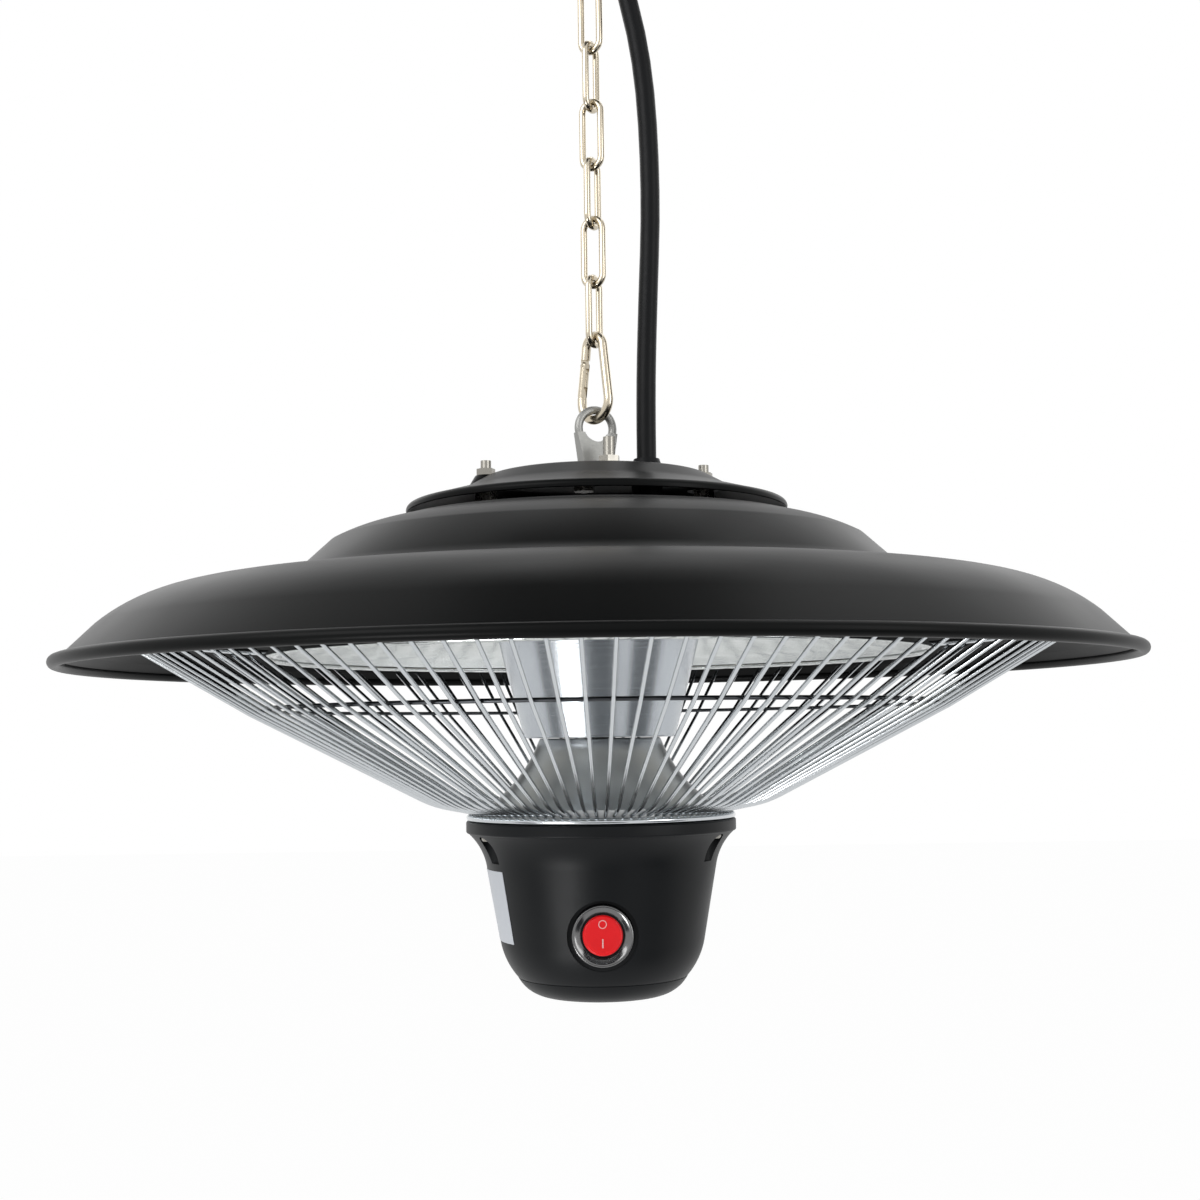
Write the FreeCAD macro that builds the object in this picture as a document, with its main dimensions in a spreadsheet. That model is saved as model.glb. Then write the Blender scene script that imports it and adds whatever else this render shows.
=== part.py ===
import FreeCAD, Part
import math
import os
import re
import Sketcher

# Hanging electric gazebo heater: a stepped round shade over a polished reflector and a ring lamp,
# a bowl-shaped wire guard down to a black switch cup, hung by an eye, two snap hooks and a chain.
# Millimetres, +Z up, front towards -Y. The origin is the seat inside the top snap hook.
# Levels of the heater itself are measured from its rim; rim_drop carries them down the chain.

DRIVING = {
    # Snap hooks: pear-shaped wire, the wide end holds the outside world, the narrow end the chain.
    "hook_length": 40, "hook_wire": 4, "hook_wide_radius": 8, "hook_narrow_radius": 5,
    "hook_nose_height": 12.4, "hook_pivot_height": 26, "gate_gap": 0.4, "gate_slot": 2.2,
    "tongue_thickness": 1.8, "tongue_length": 3.4, "rivet_diameter": 1.6, "rivet_fit": 0.1,
    "top_hook_angle": -30, "lower_hook_angle": -46,
    # Long-link chain.
    "link_wire": 3, "link_length": 32, "link_width": 12, "link_count": 13, "seat_gap": 0.3,
    "odd_link_angle": 60, "even_link_angle": -30,
    # Hanging eye on the cap.
    "eye_ring_radius": 7.75, "eye_section": 3.5, "eye_height": 28.85, "eye_angle": 23,
    "eye_plate_thickness": 3, "eye_plate_radius": 11, "eye_lobe_radius": 6, "eye_lobe_offset": 14,
    "eye_web_width": 11, "eye_web_depth": 9, "eye_web_top_width": 18.4, "eye_web_top_depth": 4,
    "eye_web_height": 19, "eye_bolt_diameter": 5, "eye_bolt_length": 15, "bolt_fit": 0.2,
    "nut_flats": 8, "nut_height": 4,
    # Top cap.
    "cap_level": 80.5, "cap_top_radius": 46, "cap_lip_radius": 80, "cap_cone_level": 68.2,
    "cap_knee_radius": 57.7, "cap_knee_level": 74, "cap_lip_level": 65.1, "cap_wall": 1, "cap_angle": 12,
    "stud_circle": 47, "stud_diameter": 4.4, "stud_above_cap": 6.2, "stud_nut_flats": 6.8,
    "stud_nut_height": 2.8, "stud_pad_radius": 5.5, "spacer_diameter": 9, "head_height": 3,
    # Shade.
    "rim_radius": 217.5, "bead_radius": 2.5, "shade_wall": 1, "skirt_radius": 203, "skirt_level": 16.7,
    "shoulder_curve": 67, "shoulder_radius": 160, "shoulder_level": 32.9, "step_radius": 140,
    "step_level": 33.7, "step_curve": 24, "neck_radius": 124.7, "neck_level": 40, "crown_radius": 111.5,
    "crown_level": 52.2, "crown_curve": 75, "top_edge_radius": 88, "top_edge_level": 60,
    "roll_curve": 5, "roll_radius": 80, "deck_level": 56, "vent_circle": 63, "vent_radius": 8,
    "vent_count": 8,
    # Reflector, lamp and centre column.
    "reflector_wall": 0.6, "reflector_edge_radius": 206, "reflector_edge_level": 9.5,
    "reflector_curve": 80, "reflector_shoulder_radius": 165, "reflector_clearance": 4.15,
    "reflector_flat_radius": 113, "reflector_flat_level": 33, "reflector_well_radius": 78,
    "reflector_well_top": 67, "lamp_ring_radius": 95, "lamp_level": 24, "lamp_diameter": 10,
    "lamp_glass": 1, "lamp_angle": 336, "filament_diameter": 2.4, "holder_diameter": 14,
    "holder_length": 16, "post_diameter": 5, "clip_wall": 1, "clip_length": 6, "clip_fit": 0.2,
    "column_wall": 0.8, "column_top_radius": 61, "column_base_radius": 25.8, "column_base_level": -29,
    # Centre tie tube with its nuts.
    "tube_diameter": 13, "tube_bore": 9, "tube_fit": 0.3, "tube_end": 9, "tube_nut_flats": 19,
    "tube_nut_height": 6,
    # Flare on the cup.
    "flare_wall": 0.8, "flare_top_radius": 25.4, "flare_foot_radius": 47.5, "flare_foot_level": -57,
    "flare_curve": 57, "foot_radius": 52.4, "foot_inner_radius": 40, "foot_thickness": 1,
    # Guard.
    "wire_count": 100, "wire_diameter": 1.6, "wire_foot_radius": 53.6, "lower_ring_radius": 54.4,
    "wire_knee_radius": 69.8, "wire_knee_level": -55.6, "wire_belly_radius": 143.5,
    "wire_belly_level": -17.6, "wire_top_radius": 195, "wire_top_level": 12.9, "weld_gap": 0.06,
    "ring_wire": 2.8, "middle_ring_wire": 1.6, "clip_width": 7, "clip_depth": 4.4, "clip_count": 4,
    "ring_setback": 1.5, "clip_gap": 0.3,
    # Switch cup.
    "flange_radius": 55.9, "flange_level": -62.5, "flange_thickness": 5, "neck_curve": 24,
    "cup_neck_radius": 47.6, "cup_neck_level": -80.7, "cup_waist_radius": 42.2, "cup_waist_level": -111,
    "cup_curve": 30, "seam_radius": 34.9, "seam_level": -126.5, "cup_wall": 2.6, "deck_thickness": 3,
    "cavity_radius": 43.6, "cavity_neck_level": -79, "bottom_level": -135.5, "bottom_corner_radius": 24,
    "bottom_corner_level": -134, "corner_curve": 15, "bottom_curve": 210, "lip_height": 3.5,
    "lip_fit": 0.3, "screw_circle": 50.2, "screw_diameter": 3, "screw_head_radius": 3.2,
    "screw_head_height": 2.2, "pocket_radius": 4.2, "pocket_depth": 13, "pocket_roof": 3.5,
    # Rocker switch in the cup's front.
    "switch_level": -106, "switch_seat": 38.8, "recess_radius": 14, "boss_rim": 1.6, "seat_wall": 2.5,
    "bezel_radius": 11.5, "bezel_thickness": 2.4, "switch_barrel_radius": 10, "barrel_depth": 15,
    "rocker_radius": 7.9, "rocker_fit": 0.5, "rocker_depth": 6.2, "rocker_angle": -7,
    "rocker_crown": 34, "terminal_width": 6.3, "terminal_thickness": 0.8, "terminal_length": 8,
    "terminal_spacing": 5, "barrel_fit": 0.15,
    # Supply cord, its bush, coil, tie and plug.
    "cord_diameter": 8.2, "bush_x": 21.2, "bush_y": -5, "bush_flange_radius": 8.5, "bush_flange": 2,
    "bush_top_radius": 5.4, "bush_rise": 6.8, "bush_depth": 11, "bush_neck_radius": 6.5,
    "block_length": 18, "block_width": 12, "block_height": 10,
    "coil_inner_radius": 34, "coil_pitch": 10.2, "coil_layer": 9.6, "coil_half_turns": 5,
    "coil_drop": 130, "coil_clearance": 1.2, "coil_last_step": 7.5, "coil_tail": 9,
    "tie_width": 14, "tie_thickness": 1.6, "tie_slack": 0.5,
    "plug_radius": 18, "plug_neck_radius": 7, "plug_grip_radius": 11, "plug_length": 42,
    "plug_rim": 12, "plug_bend": 30, "pin_diameter": 4.8, "pin_length": 19, "pin_spacing": 19,
}
DERIVED = {
    "hook_low_centre": "hook_wire - hook_length + hook_wire / 2",
    "first_link_top": "hook_low_centre + (hook_wire + link_wire) / 2 + seat_gap",
    "link_pitch": "link_length - 2 * link_wire - seat_gap",
    "link_reach": "link_length - link_wire",
    "last_link_low": "first_link_top - (link_count - 1) * link_pitch - link_reach",
    "lower_hook_top": "last_link_low + (hook_wire + link_wire) / 2 + seat_gap + hook_wire / 2",
    "tilt_level": "lower_hook_top - hook_length + hook_wire / 2",
    "eye_top_centre": "tilt_level + (hook_wire + eye_section) / 2 + seat_gap",
    "rim_drop": "cap_level + eye_height - eye_top_centre",
    "hook_wide_centre": "hook_wire / 2 + hook_wide_radius",
    "hook_narrow_centre": "hook_length - hook_wire / 2 - hook_narrow_radius",
    "hook_lean_sin": "(hook_wide_radius - hook_narrow_radius) / (hook_narrow_centre - hook_wide_centre)",
    "hook_lean_cos": "sqrt(1 - hook_lean_sin * hook_lean_sin)",
    "hook_side_top": "hook_narrow_centre + hook_narrow_radius * hook_lean_sin",
    "hook_lean": "hook_lean_sin / hook_lean_cos",
    "hook_pivot_x": "hook_narrow_radius * hook_lean_cos + (hook_side_top - hook_pivot_height) * hook_lean",
    "hook_end_height": "hook_pivot_height + hook_wire / 2 + gate_gap",
    "hook_end_x": "hook_narrow_radius * hook_lean_cos + (hook_side_top - hook_end_height) * hook_lean",
    "gate_rise": "hook_pivot_height - hook_nose_height - gate_gap",
    "gate_lean": "hook_wide_radius - hook_pivot_x",
    "gate_length": "sqrt(gate_rise * gate_rise + gate_lean * gate_lean)",
    "cap_inside": "cap_level - cap_wall",
    "pad_level": "cap_level - 5 * cap_wall",
    "shoulder_run": "skirt_radius - shoulder_radius",
    "shoulder_rise": "shoulder_level - skirt_level",
    "shoulder_half": "sqrt(shoulder_run * shoulder_run + shoulder_rise * shoulder_rise) / 2",
    "shoulder_reach": "sqrt(shoulder_curve * shoulder_curve - shoulder_half * shoulder_half)",
    "shoulder_arc_radius": "shoulder_radius + shoulder_run / 2"
                           " - shoulder_reach * shoulder_rise / (2 * shoulder_half)",
    "shoulder_arc_level": "skirt_level + shoulder_rise / 2"
                          " - shoulder_reach * shoulder_run / (2 * shoulder_half)",
    "shoulder_inside": "shoulder_curve - shade_wall",
    "reflector_offset": "reflector_shoulder_radius - shoulder_arc_radius",
    "reflector_roof": "sqrt(shoulder_inside * shoulder_inside - reflector_offset * reflector_offset)",
    "reflector_shoulder_level": "shoulder_arc_level + reflector_roof - reflector_clearance",
    "dish_run": "reflector_edge_radius - reflector_shoulder_radius",
    "dish_rise": "reflector_shoulder_level - reflector_edge_level",
    "dish_half": "sqrt(dish_run * dish_run + dish_rise * dish_rise) / 2",
    "dish_reach": "sqrt(reflector_curve * reflector_curve - dish_half * dish_half)",
    "dish_arc_radius": "reflector_edge_radius - dish_run / 2 - dish_reach * dish_rise / (2 * dish_half)",
    "dish_arc_level": "reflector_edge_level + dish_rise / 2 - dish_reach * dish_run / (2 * dish_half)",
    "dish_inside": "reflector_curve - reflector_wall",
    "reflector_top": "deck_level - shade_wall",
    "column_top_level": "reflector_top - reflector_wall",
    "foot_level": "flange_level + foot_thickness",
    "lower_ring_level": "flange_level + ring_wire / 2",
    "wire_foot_level": "lower_ring_level + (ring_wire + wire_diameter) / 2 + weld_gap",
    "belly_slope": "(wire_belly_level - wire_knee_level) / (wire_belly_radius - wire_knee_radius)",
    "belly_cos": "1 / sqrt(1 + belly_slope * belly_slope)",
    "middle_offset": "(wire_diameter + middle_ring_wire) / 2 + 2 * weld_gap",
    "middle_ring_radius": "wire_belly_radius - belly_slope * belly_cos * middle_offset",
    "middle_ring_level": "wire_belly_level + belly_cos * middle_offset",
    "top_slope": "(wire_top_level - wire_belly_level) / (wire_top_radius - wire_belly_radius)",
    "top_cos": "1 / sqrt(1 + top_slope * top_slope)",
    "top_offset": "(wire_diameter + ring_wire) / 2 + weld_gap",
    "top_ring_radius": "wire_top_radius - top_cos * ring_setback - top_slope * top_cos * top_offset",
    "top_ring_level": "wire_top_level - top_slope * top_cos * ring_setback + top_cos * top_offset",
    "clip_outer_offset": "top_ring_radius + clip_depth / 2 - dish_arc_radius",
    "clip_inner_offset": "top_ring_radius - clip_depth / 2 - dish_arc_radius",
    "clip_base": "dish_arc_level - clip_gap",
    "clip_outer_level": "clip_base + sqrt(dish_inside * dish_inside - clip_outer_offset * clip_outer_offset)",
    "clip_inner_level": "clip_base + sqrt(dish_inside * dish_inside - clip_inner_offset * clip_inner_offset)",
    "tube_top": "deck_level + tube_end",
    "tube_low": "flange_level - deck_thickness - tube_end",
    "bush_bottom": "cap_level - bush_depth",
    "bush_top": "cap_level + bush_rise",
    "coil_outer_radius": "coil_inner_radius + coil_half_turns * coil_pitch / 2",
    "coil_x": "link_width / 2 + coil_clearance + cord_diameter / 2 + coil_outer_radius",
    "coil_level": "-coil_drop",
}

doc = FreeCAD.newDocument("gazebo_heater")
sheet = doc.addObject("Spreadsheet::Sheet", "sizes")
for row, (alias, number) in enumerate(list(DRIVING.items()) + list(DERIVED.items()), start=1):
    sheet.set("A%d" % row, alias)
    sheet.set("B%d" % row, str(number) if alias in DRIVING else "=" + number)
    sheet.setAlias("B%d" % row, alias)
doc.recompute()

sub_parts = []
Z_AXIS = FreeCAD.Vector(0, 0, 1)


def size(alias):
    return float(sheet.get(alias))


def measure(words):
    """Work out a sum of aliases in a scratch cell of the sheet."""
    sheet.set("D1", "=" + words)
    sheet.recompute()
    return float(sheet.get("D1"))


def cell(words):
    """Turn a sum of aliases into an expression that reads the sheet."""
    return re.sub(r"(?<![a-z_])[a-z][a-z_]+(?![a-z_(])", lambda found: "sizes." + found.group(0), words)


def bind(thing, **bindings):
    """Bind properties; x, y, z and turn stand for the placement."""
    places = {"x": "Placement.Base.x", "y": "Placement.Base.y", "z": "Placement.Base.z",
              "turn": "Placement.Rotation.Angle"}
    for name, words in bindings.items():
        if name == "turn":
            thing.Placement.Rotation = FreeCAD.Rotation(Z_AXIS, 1)
        thing.setExpression(places.get(name, name), cell(words))
    return thing


def keep(thing, label):
    thing.Label = label
    sub_parts.append(thing)
    return thing


def rod(name, radius, height, z, x="0", y="0", axis=None, angle=90):
    """Cylinder from its lower end; axis tips it over by angle."""
    cylinder = doc.addObject("Part::Cylinder", name)
    if axis is not None:
        cylinder.Placement.Rotation = FreeCAD.Rotation(axis, angle)
    return bind(cylinder, Radius=radius, Height=height, x=x, y=y, z=z)


def cut(name, base, *tools):
    """Subtract one tool, or several joined into one."""
    result = doc.addObject("Part::Cut", name)
    result.Base = base
    result.Tool = tools[0] if len(tools) == 1 else fuse(name + "_tools", *tools)
    return result


def fuse(name, *pieces):
    result = doc.addObject("Part::MultiFuse", name)
    result.Shapes = list(pieces)
    return result


def group(name, *pieces):
    result = doc.addObject("Part::Compound", name)
    result.Links = list(pieces)
    return result


def sketch_on(body, role, depth="0"):
    """Empty sketch on one of the body's own planes, depth along the plane's normal."""
    sketch = body.newObject("Sketcher::SketchObject", body.Name + "_sketch")
    plane = [item for item in body.Origin.OriginFeatures if item.Role == role][0]
    sketch.AttachmentSupport = [(plane, "")]
    sketch.MapMode = "FlatFace"
    sketch.setExpression("AttachmentOffset.Base.z", cell(depth))
    return sketch


def draw(sketch, corners, closed=True):
    """Lines and arcs through corners (across, up[, radius, side]); side 1 curves to the left."""
    words = [corner[:2] for corner in corners]
    spots = [FreeCAD.Vector(measure(across), measure(up), 0) for across, up in words]
    last = len(corners) if closed else len(corners) - 1
    ends = []
    for index in range(last):
        begin, end = spots[index], spots[(index + 1) % len(spots)]
        if len(corners[index]) == 2:
            edge = sketch.addGeometry(Part.LineSegment(begin, end))
            ends.append((edge, 1, 2))
            continue
        radius = measure(corners[index][2])
        side = corners[index][3]
        chord = end - begin
        left = FreeCAD.Vector(-chord.y, chord.x, 0).normalize()
        rise = math.sqrt(max(radius ** 2 - (chord.Length / 2) ** 2, 0))
        centre = (begin + end) * 0.5 + left * (rise * side)
        angles = [math.atan2(spot.y - centre.y, spot.x - centre.x) for spot in (begin, end)]
        circle = Part.Circle(centre, Z_AXIS, radius)
        if side > 0:
            edge = sketch.addGeometry(Part.ArcOfCircle(circle, angles[0], angles[1]))
            ends.append((edge, 1, 2))
        else:
            edge = sketch.addGeometry(Part.ArcOfCircle(circle, angles[1], angles[0]))
            ends.append((edge, 2, 1))
        mark = sketch.addConstraint(Sketcher.Constraint("Radius", edge, radius))
        sketch.setExpression("Constraints[%d]" % mark, cell(corners[index][2]))
    for index, (edge, first, second) in enumerate(ends):
        pin_corner(sketch, edge, first, spots[index], words[index])
        if closed or index + 1 < len(ends):
            following = ends[(index + 1) % len(ends)]
            sketch.addConstraint(Sketcher.Constraint("Coincident", edge, second, *following[:2]))
        else:
            pin_corner(sketch, edge, second, spots[index + 1], words[index + 1])
    return sketch


def pin_corner(sketch, edge, point, spot, words):
    """Hold a corner at its two distances from the sketch's origin."""
    for kind, distance, expression in zip(("DistanceX", "DistanceY"), (spot.x, spot.y), words):
        if expression == "0":
            axis = -2 if kind == "DistanceX" else -1
            sketch.addConstraint(Sketcher.Constraint("PointOnObject", edge, point, axis))
            continue
        mark = sketch.addConstraint(Sketcher.Constraint(kind, -1, 1, edge, point, distance))
        sketch.setExpression("Constraints[%d]" % mark, cell(expression))


def turned(label, corners, z="-rim_drop"):
    """Body of revolution about Z from a closed outline of radius and level."""
    body = doc.addObject("PartDesign::Body", label)
    outline = draw(sketch_on(body, "XZ_Plane"), corners)
    revolution = body.newObject("PartDesign::Revolution", label + "_turned")
    revolution.Profile = outline
    revolution.ReferenceAxis = (outline, ["V_Axis"])
    revolution.Angle = 360
    return bind(body, z=z)


def piped(label, corners, section_radius, z, turn, closed=True):
    """Round wire along an outline in the body's XZ plane, whose first run starts vertical."""
    body = doc.addObject("PartDesign::Body", label)
    spine = draw(sketch_on(body, "XZ_Plane"), corners, closed)
    section = sketch_on(body, "XY_Plane", corners[0][1])
    ring = section.addGeometry(Part.Circle(FreeCAD.Vector(measure(corners[0][0]), 0, 0), Z_AXIS,
                                           measure(section_radius)))
    pin_corner(section, ring, 3, FreeCAD.Vector(measure(corners[0][0]), 0, 0), (corners[0][0], "0"))
    mark = section.addConstraint(Sketcher.Constraint("Radius", ring, measure(section_radius)))
    section.setExpression("Constraints[%d]" % mark, cell(section_radius))
    pipe = body.newObject("PartDesign::AdditivePipe", label + "_wire")
    pipe.Profile = section
    count = len(corners) if closed else len(corners) - 1
    pipe.Spine = (spine, ["Edge%d" % (index + 1) for index in range(count)])
    return bind(body, z=z, turn=turn)


def hex_prism(name, flats, height, x, y, z):
    prism = doc.addObject("Part::Prism", name)
    prism.Polygon = 6
    return bind(prism, Circumradius="(%s) / sqrt(3)" % flats, Height=height, x=x, y=y, z=z)


def block(name, length, width, height, x, y, z):
    """Box centred on x and y, standing on z."""
    box = doc.addObject("Part::Box", name)
    return bind(box, Length=length, Width=width, Height=height,
                x="(%s) - (%s) / 2" % (x, length), y="(%s) - (%s) / 2" % (y, width), z=z)


def snap_hook(prefix, up, z, turn):
    """Pear hook from its wide tip; up is 1 with the wide end down and -1 with it up."""
    sign = "" if up > 0 else "-"

    def spot(across, height):
        return across, "%s(%s)" % (sign, height)

    arc_side = up
    path = [spot("-hook_wide_radius", "hook_nose_height"),
            spot("-hook_wide_radius", "hook_wide_centre") + ("hook_wide_radius", arc_side),
            spot("0", "hook_wire / 2") + ("hook_wide_radius", arc_side),
            spot("hook_wide_radius * hook_lean_cos", "hook_wide_centre + hook_wide_radius * hook_lean_sin"),
            spot("hook_narrow_radius * hook_lean_cos", "hook_side_top") + ("hook_narrow_radius", arc_side),
            spot("0", "hook_length - hook_wire / 2") + ("hook_narrow_radius", arc_side),
            spot("-hook_narrow_radius * hook_lean_cos", "hook_side_top"),
            spot("-hook_end_x", "hook_end_height")]
    wire = piped(prefix + "_wire", path, "hook_wire / 2", "0", "0", closed=False)
    width = "hook_wire * 0.75"
    low = "hook_pivot_height - tongue_thickness * 0.7"
    tongues = [("hook_pivot_x", low, "hook_end_height + 1 - (%s)" % low),
               ("hook_wide_radius", "hook_nose_height - 1", "gate_gap + tongue_length + 1")]
    plates = []
    for index, (across, foot, tall) in enumerate(tongues):
        base = "%s(%s)" % (sign, foot) if up > 0 else "-(%s) - (%s)" % (foot, tall)
        plates.append(block(prefix + "_tongue%d" % index, width, "tongue_thickness", tall,
                            "-" + across, "0", base))
    pivot_z = "%shook_pivot_height" % sign
    y_axis_tip = FreeCAD.Vector(1, 0, 0)
    hole = rod(prefix + "_hole", "rivet_diameter / 2", "2 * hook_wire", pivot_z, "-hook_pivot_x",
               "hook_wire", y_axis_tip)
    hook = cut(prefix, fuse(prefix + "_frame", wire, *plates), hole)
    keep(bind(hook, z=z, turn=turn), prefix)

    rise = measure("hook_pivot_height - hook_nose_height - gate_gap")
    lean = math.degrees(math.atan2(measure("hook_wide_radius - hook_pivot_x"), rise))
    bar = rod(prefix + "_bar", "hook_wire / 2", "gate_length", "%s(hook_nose_height + gate_gap)" % sign,
              "-hook_wide_radius", "0", FreeCAD.Vector(0, 1, 0), lean if up > 0 else 180 - lean)
    ball = doc.addObject("Part::Sphere", prefix + "_ball")
    bind(ball, Radius="hook_wire / 2", x="-hook_pivot_x", z=pivot_z)
    slots = []
    reach = {"pivot": ("hook_pivot_x", "hook_pivot_height - 2.6", "hook_wire + 2.6"),
             "nose": ("hook_wide_radius", "hook_nose_height", "gate_gap + tongue_length + 0.6")}
    for name, (across, foot, tall) in reach.items():
        base = "%s(%s)" % (sign, foot) if up > 0 else "-(%s) - (%s)" % (foot, tall)
        slots.append(block(prefix + "_slot_" + name, "3 * hook_wire", "gate_slot", tall, "-" + across, "0",
                           base))
    bore = rod(prefix + "_bore", "rivet_diameter / 2 + rivet_fit", "2 * hook_wire", pivot_z,
               "-hook_pivot_x", "hook_wire", y_axis_tip)
    gate = cut(prefix + "_gate", fuse(prefix + "_bar_ball", bar, ball), bore, *slots)
    keep(bind(gate, z=z, turn=turn), prefix + "_gate")
    rivet = group(prefix + "_rivet", rod(prefix + "_pin", "rivet_diameter / 2", "hook_wire", pivot_z,
                                         "-hook_pivot_x", "hook_wire / 2", y_axis_tip))
    keep(bind(rivet, z=z, turn=turn), prefix + "_rivet")


snap_hook("top_snap_hook", -1, "hook_wire", "top_hook_angle")
snap_hook("lower_snap_hook", 1, "lower_hook_top - hook_length", "lower_hook_angle")

# Chain: every link is one closed loop of wire, turned a quarter to its neighbours.
for number in range(1, int(size("link_count")) + 1):
    half = "(link_width - link_wire) / 2"
    loop = [(half, "-link_reach + " + half), (half, "-" + half, half, 1), ("0", "0", half, 1),
            ("-" + half, "-" + half), ("-" + half, "-link_reach + " + half, half, 1),
            ("0", "-link_reach", half, 1)]
    link = piped("chain_link_%02d" % number, loop, "link_wire / 2",
                 "first_link_top - %d * link_pitch" % (number - 1),
                 "odd_link_angle" if number % 2 else "even_link_angle")
    keep(link, "chain_link_%02d" % number)

# Hanging eye: ring held in a cast web that narrows down to a two-lobed foot plate.
EYE_TIP = FreeCAD.Vector(1, 0, 0)
ring_centre = "eye_height - eye_ring_radius"
eye_ring = doc.addObject("Part::Torus", "eye_ring")
eye_ring.Placement.Rotation = FreeCAD.Rotation(EYE_TIP, 90)
bind(eye_ring, Radius1="eye_ring_radius", Radius2="eye_section / 2", z=ring_centre)
eye_window = rod("eye_window", "eye_ring_radius - eye_section / 2", "4 * eye_section", ring_centre, "0",
                 "2 * eye_section", EYE_TIP)
web = doc.addObject("Part::Wedge", "eye_web")
web.Placement.Rotation = FreeCAD.Rotation(EYE_TIP, 90)
bind(web, Ymin="0", Ymax="eye_web_height", Xmin="-eye_web_width / 2", Xmax="eye_web_width / 2",
     Zmin="-eye_web_depth / 2", Zmax="eye_web_depth / 2", X2min="-eye_web_top_width / 2",
     X2max="eye_web_top_width / 2", Z2min="-eye_web_top_depth / 2", Z2max="eye_web_top_depth / 2")
plate = [rod("eye_plate", "eye_plate_radius", "eye_plate_thickness", "0"),
         block("eye_bar", "2 * eye_lobe_radius", "2 * eye_lobe_offset", "eye_plate_thickness", "0", "0", "0")]
eye_holes = []
eye_bolts = []
eye_nuts = []
for name, side in (("front", "-"), ("back", "")):
    place = side + "eye_lobe_offset"
    plate.append(rod("eye_lobe_" + name, "eye_lobe_radius", "eye_plate_thickness", "0", "0", place))
    eye_holes.append(rod("eye_hole_" + name, "eye_bolt_diameter / 2 + bolt_fit",
                         "3 * eye_plate_thickness", "-eye_plate_thickness", "0", place))
    shank = rod("eye_shank_" + name, "eye_bolt_diameter / 2", "eye_bolt_length + cap_wall",
                "-cap_wall", "0", place)
    head = hex_prism("eye_head_" + name, "nut_flats", "head_height", "0", place, "-cap_wall - head_height")
    eye_bolts.append(fuse("eye_bolt_" + name, shank, head))
    nut = hex_prism("eye_nut_hex_" + name, "nut_flats", "nut_height", "0", place, "eye_plate_thickness")
    nut_bore = rod("eye_nut_bore_" + name, "eye_bolt_diameter / 2", "3 * nut_height", "0", "0", place)
    eye_nuts.append(cut("eye_nut_" + name, nut, nut_bore))
eye_web_open = cut("eye_web_open", fuse("eye_foot", web, *plate), eye_window, *eye_holes)
eye = fuse("hanging_eye", eye_ring, eye_web_open)
for label, thing in (("hanging_eye", eye), ("eye_bolts", group("eye_bolts", *eye_bolts)),
                     ("eye_nuts", group("eye_nuts", *eye_nuts))):
    keep(bind(thing, z="cap_level - rim_drop", turn="eye_angle"), label)

# Top cap: pressed cone over the vent, on two studs with spacer tubes.
cap_shell = turned("cap_shell", [
    ("0", "cap_level"), ("cap_top_radius", "cap_level"), ("cap_knee_radius", "cap_knee_level"),
    ("cap_lip_radius - cap_wall", "cap_cone_level"),
    ("cap_lip_radius", "cap_cone_level - cap_wall"), ("cap_lip_radius", "cap_lip_level"),
    ("cap_lip_radius - cap_wall", "cap_lip_level"),
    ("cap_lip_radius - cap_wall", "cap_cone_level - 1.5 * cap_wall"),
    ("cap_knee_radius - cap_wall / 2", "cap_knee_level - 1.1 * cap_wall"),
    ("cap_top_radius - cap_wall / 2", "cap_inside"), ("0", "cap_inside")], z="0")
pads = []
stud_holes = []
studs = []
stud_nuts = []
spacers = []
for name, side in (("left", "-"), ("right", "")):
    place = side + "stud_circle"
    pads.append(rod("pad_" + name, "stud_pad_radius", "cap_level - pad_level", "pad_level", place))
    stud_holes.append(rod("stud_hole_" + name, "stud_diameter / 2 + bolt_fit", "cap_level", "deck_level / 2",
                          place))
    shank = rod("stud_shank_" + name, "stud_diameter / 2",
                "cap_level + stud_above_cap - column_top_level", "column_top_level", place)
    head = rod("stud_head_" + name, "stud_diameter", "head_height", "column_top_level - head_height", place)
    studs.append(fuse("stud_" + name, shank, head))
    nut = hex_prism("stud_nut_hex_" + name, "stud_nut_flats", "stud_nut_height", place, "0", "cap_level")
    stud_nuts.append(cut("stud_nut_" + name, nut, rod("stud_nut_bore_" + name, "stud_diameter / 2",
                                                      "3 * stud_nut_height", "cap_inside", place)))
    tube = rod("spacer_tube_" + name, "spacer_diameter / 2", "pad_level - deck_level", "deck_level", place)
    spacers.append(cut("spacer_" + name, tube, rod("spacer_bore_" + name, "stud_diameter / 2 + bolt_fit",
                                                   "cap_level", "deck_level / 2", place)))
pad_group = bind(group("cap_pads", *pads), turn="cap_angle")
stud_hole_group = bind(group("stud_holes", *stud_holes), turn="cap_angle")
eye_hole_group = bind(group("cap_bolt_holes", *[
    rod("cap_bolt_hole_" + name, "eye_bolt_diameter / 2 + bolt_fit", "4 * cap_wall",
        "cap_level - 2 * cap_wall", "0", side + "eye_lobe_offset")
    for name, side in (("front", "-"), ("back", ""))]), turn="eye_angle")
bush_hole = rod("bush_hole", "bush_neck_radius", "4 * cap_wall", "cap_level - 2 * cap_wall", "bush_x",
                "bush_y")
cap = cut("top_cap", fuse("cap_solid", cap_shell, pad_group), stud_hole_group, eye_hole_group, bush_hole)
keep(bind(cap, z="-rim_drop"), "top_cap")
for label, pieces in (("cap_studs", studs), ("cap_nuts", stud_nuts), ("cap_spacers", spacers)):
    keep(bind(group(label, *pieces), z="-rim_drop", turn="cap_angle"), label)

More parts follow.
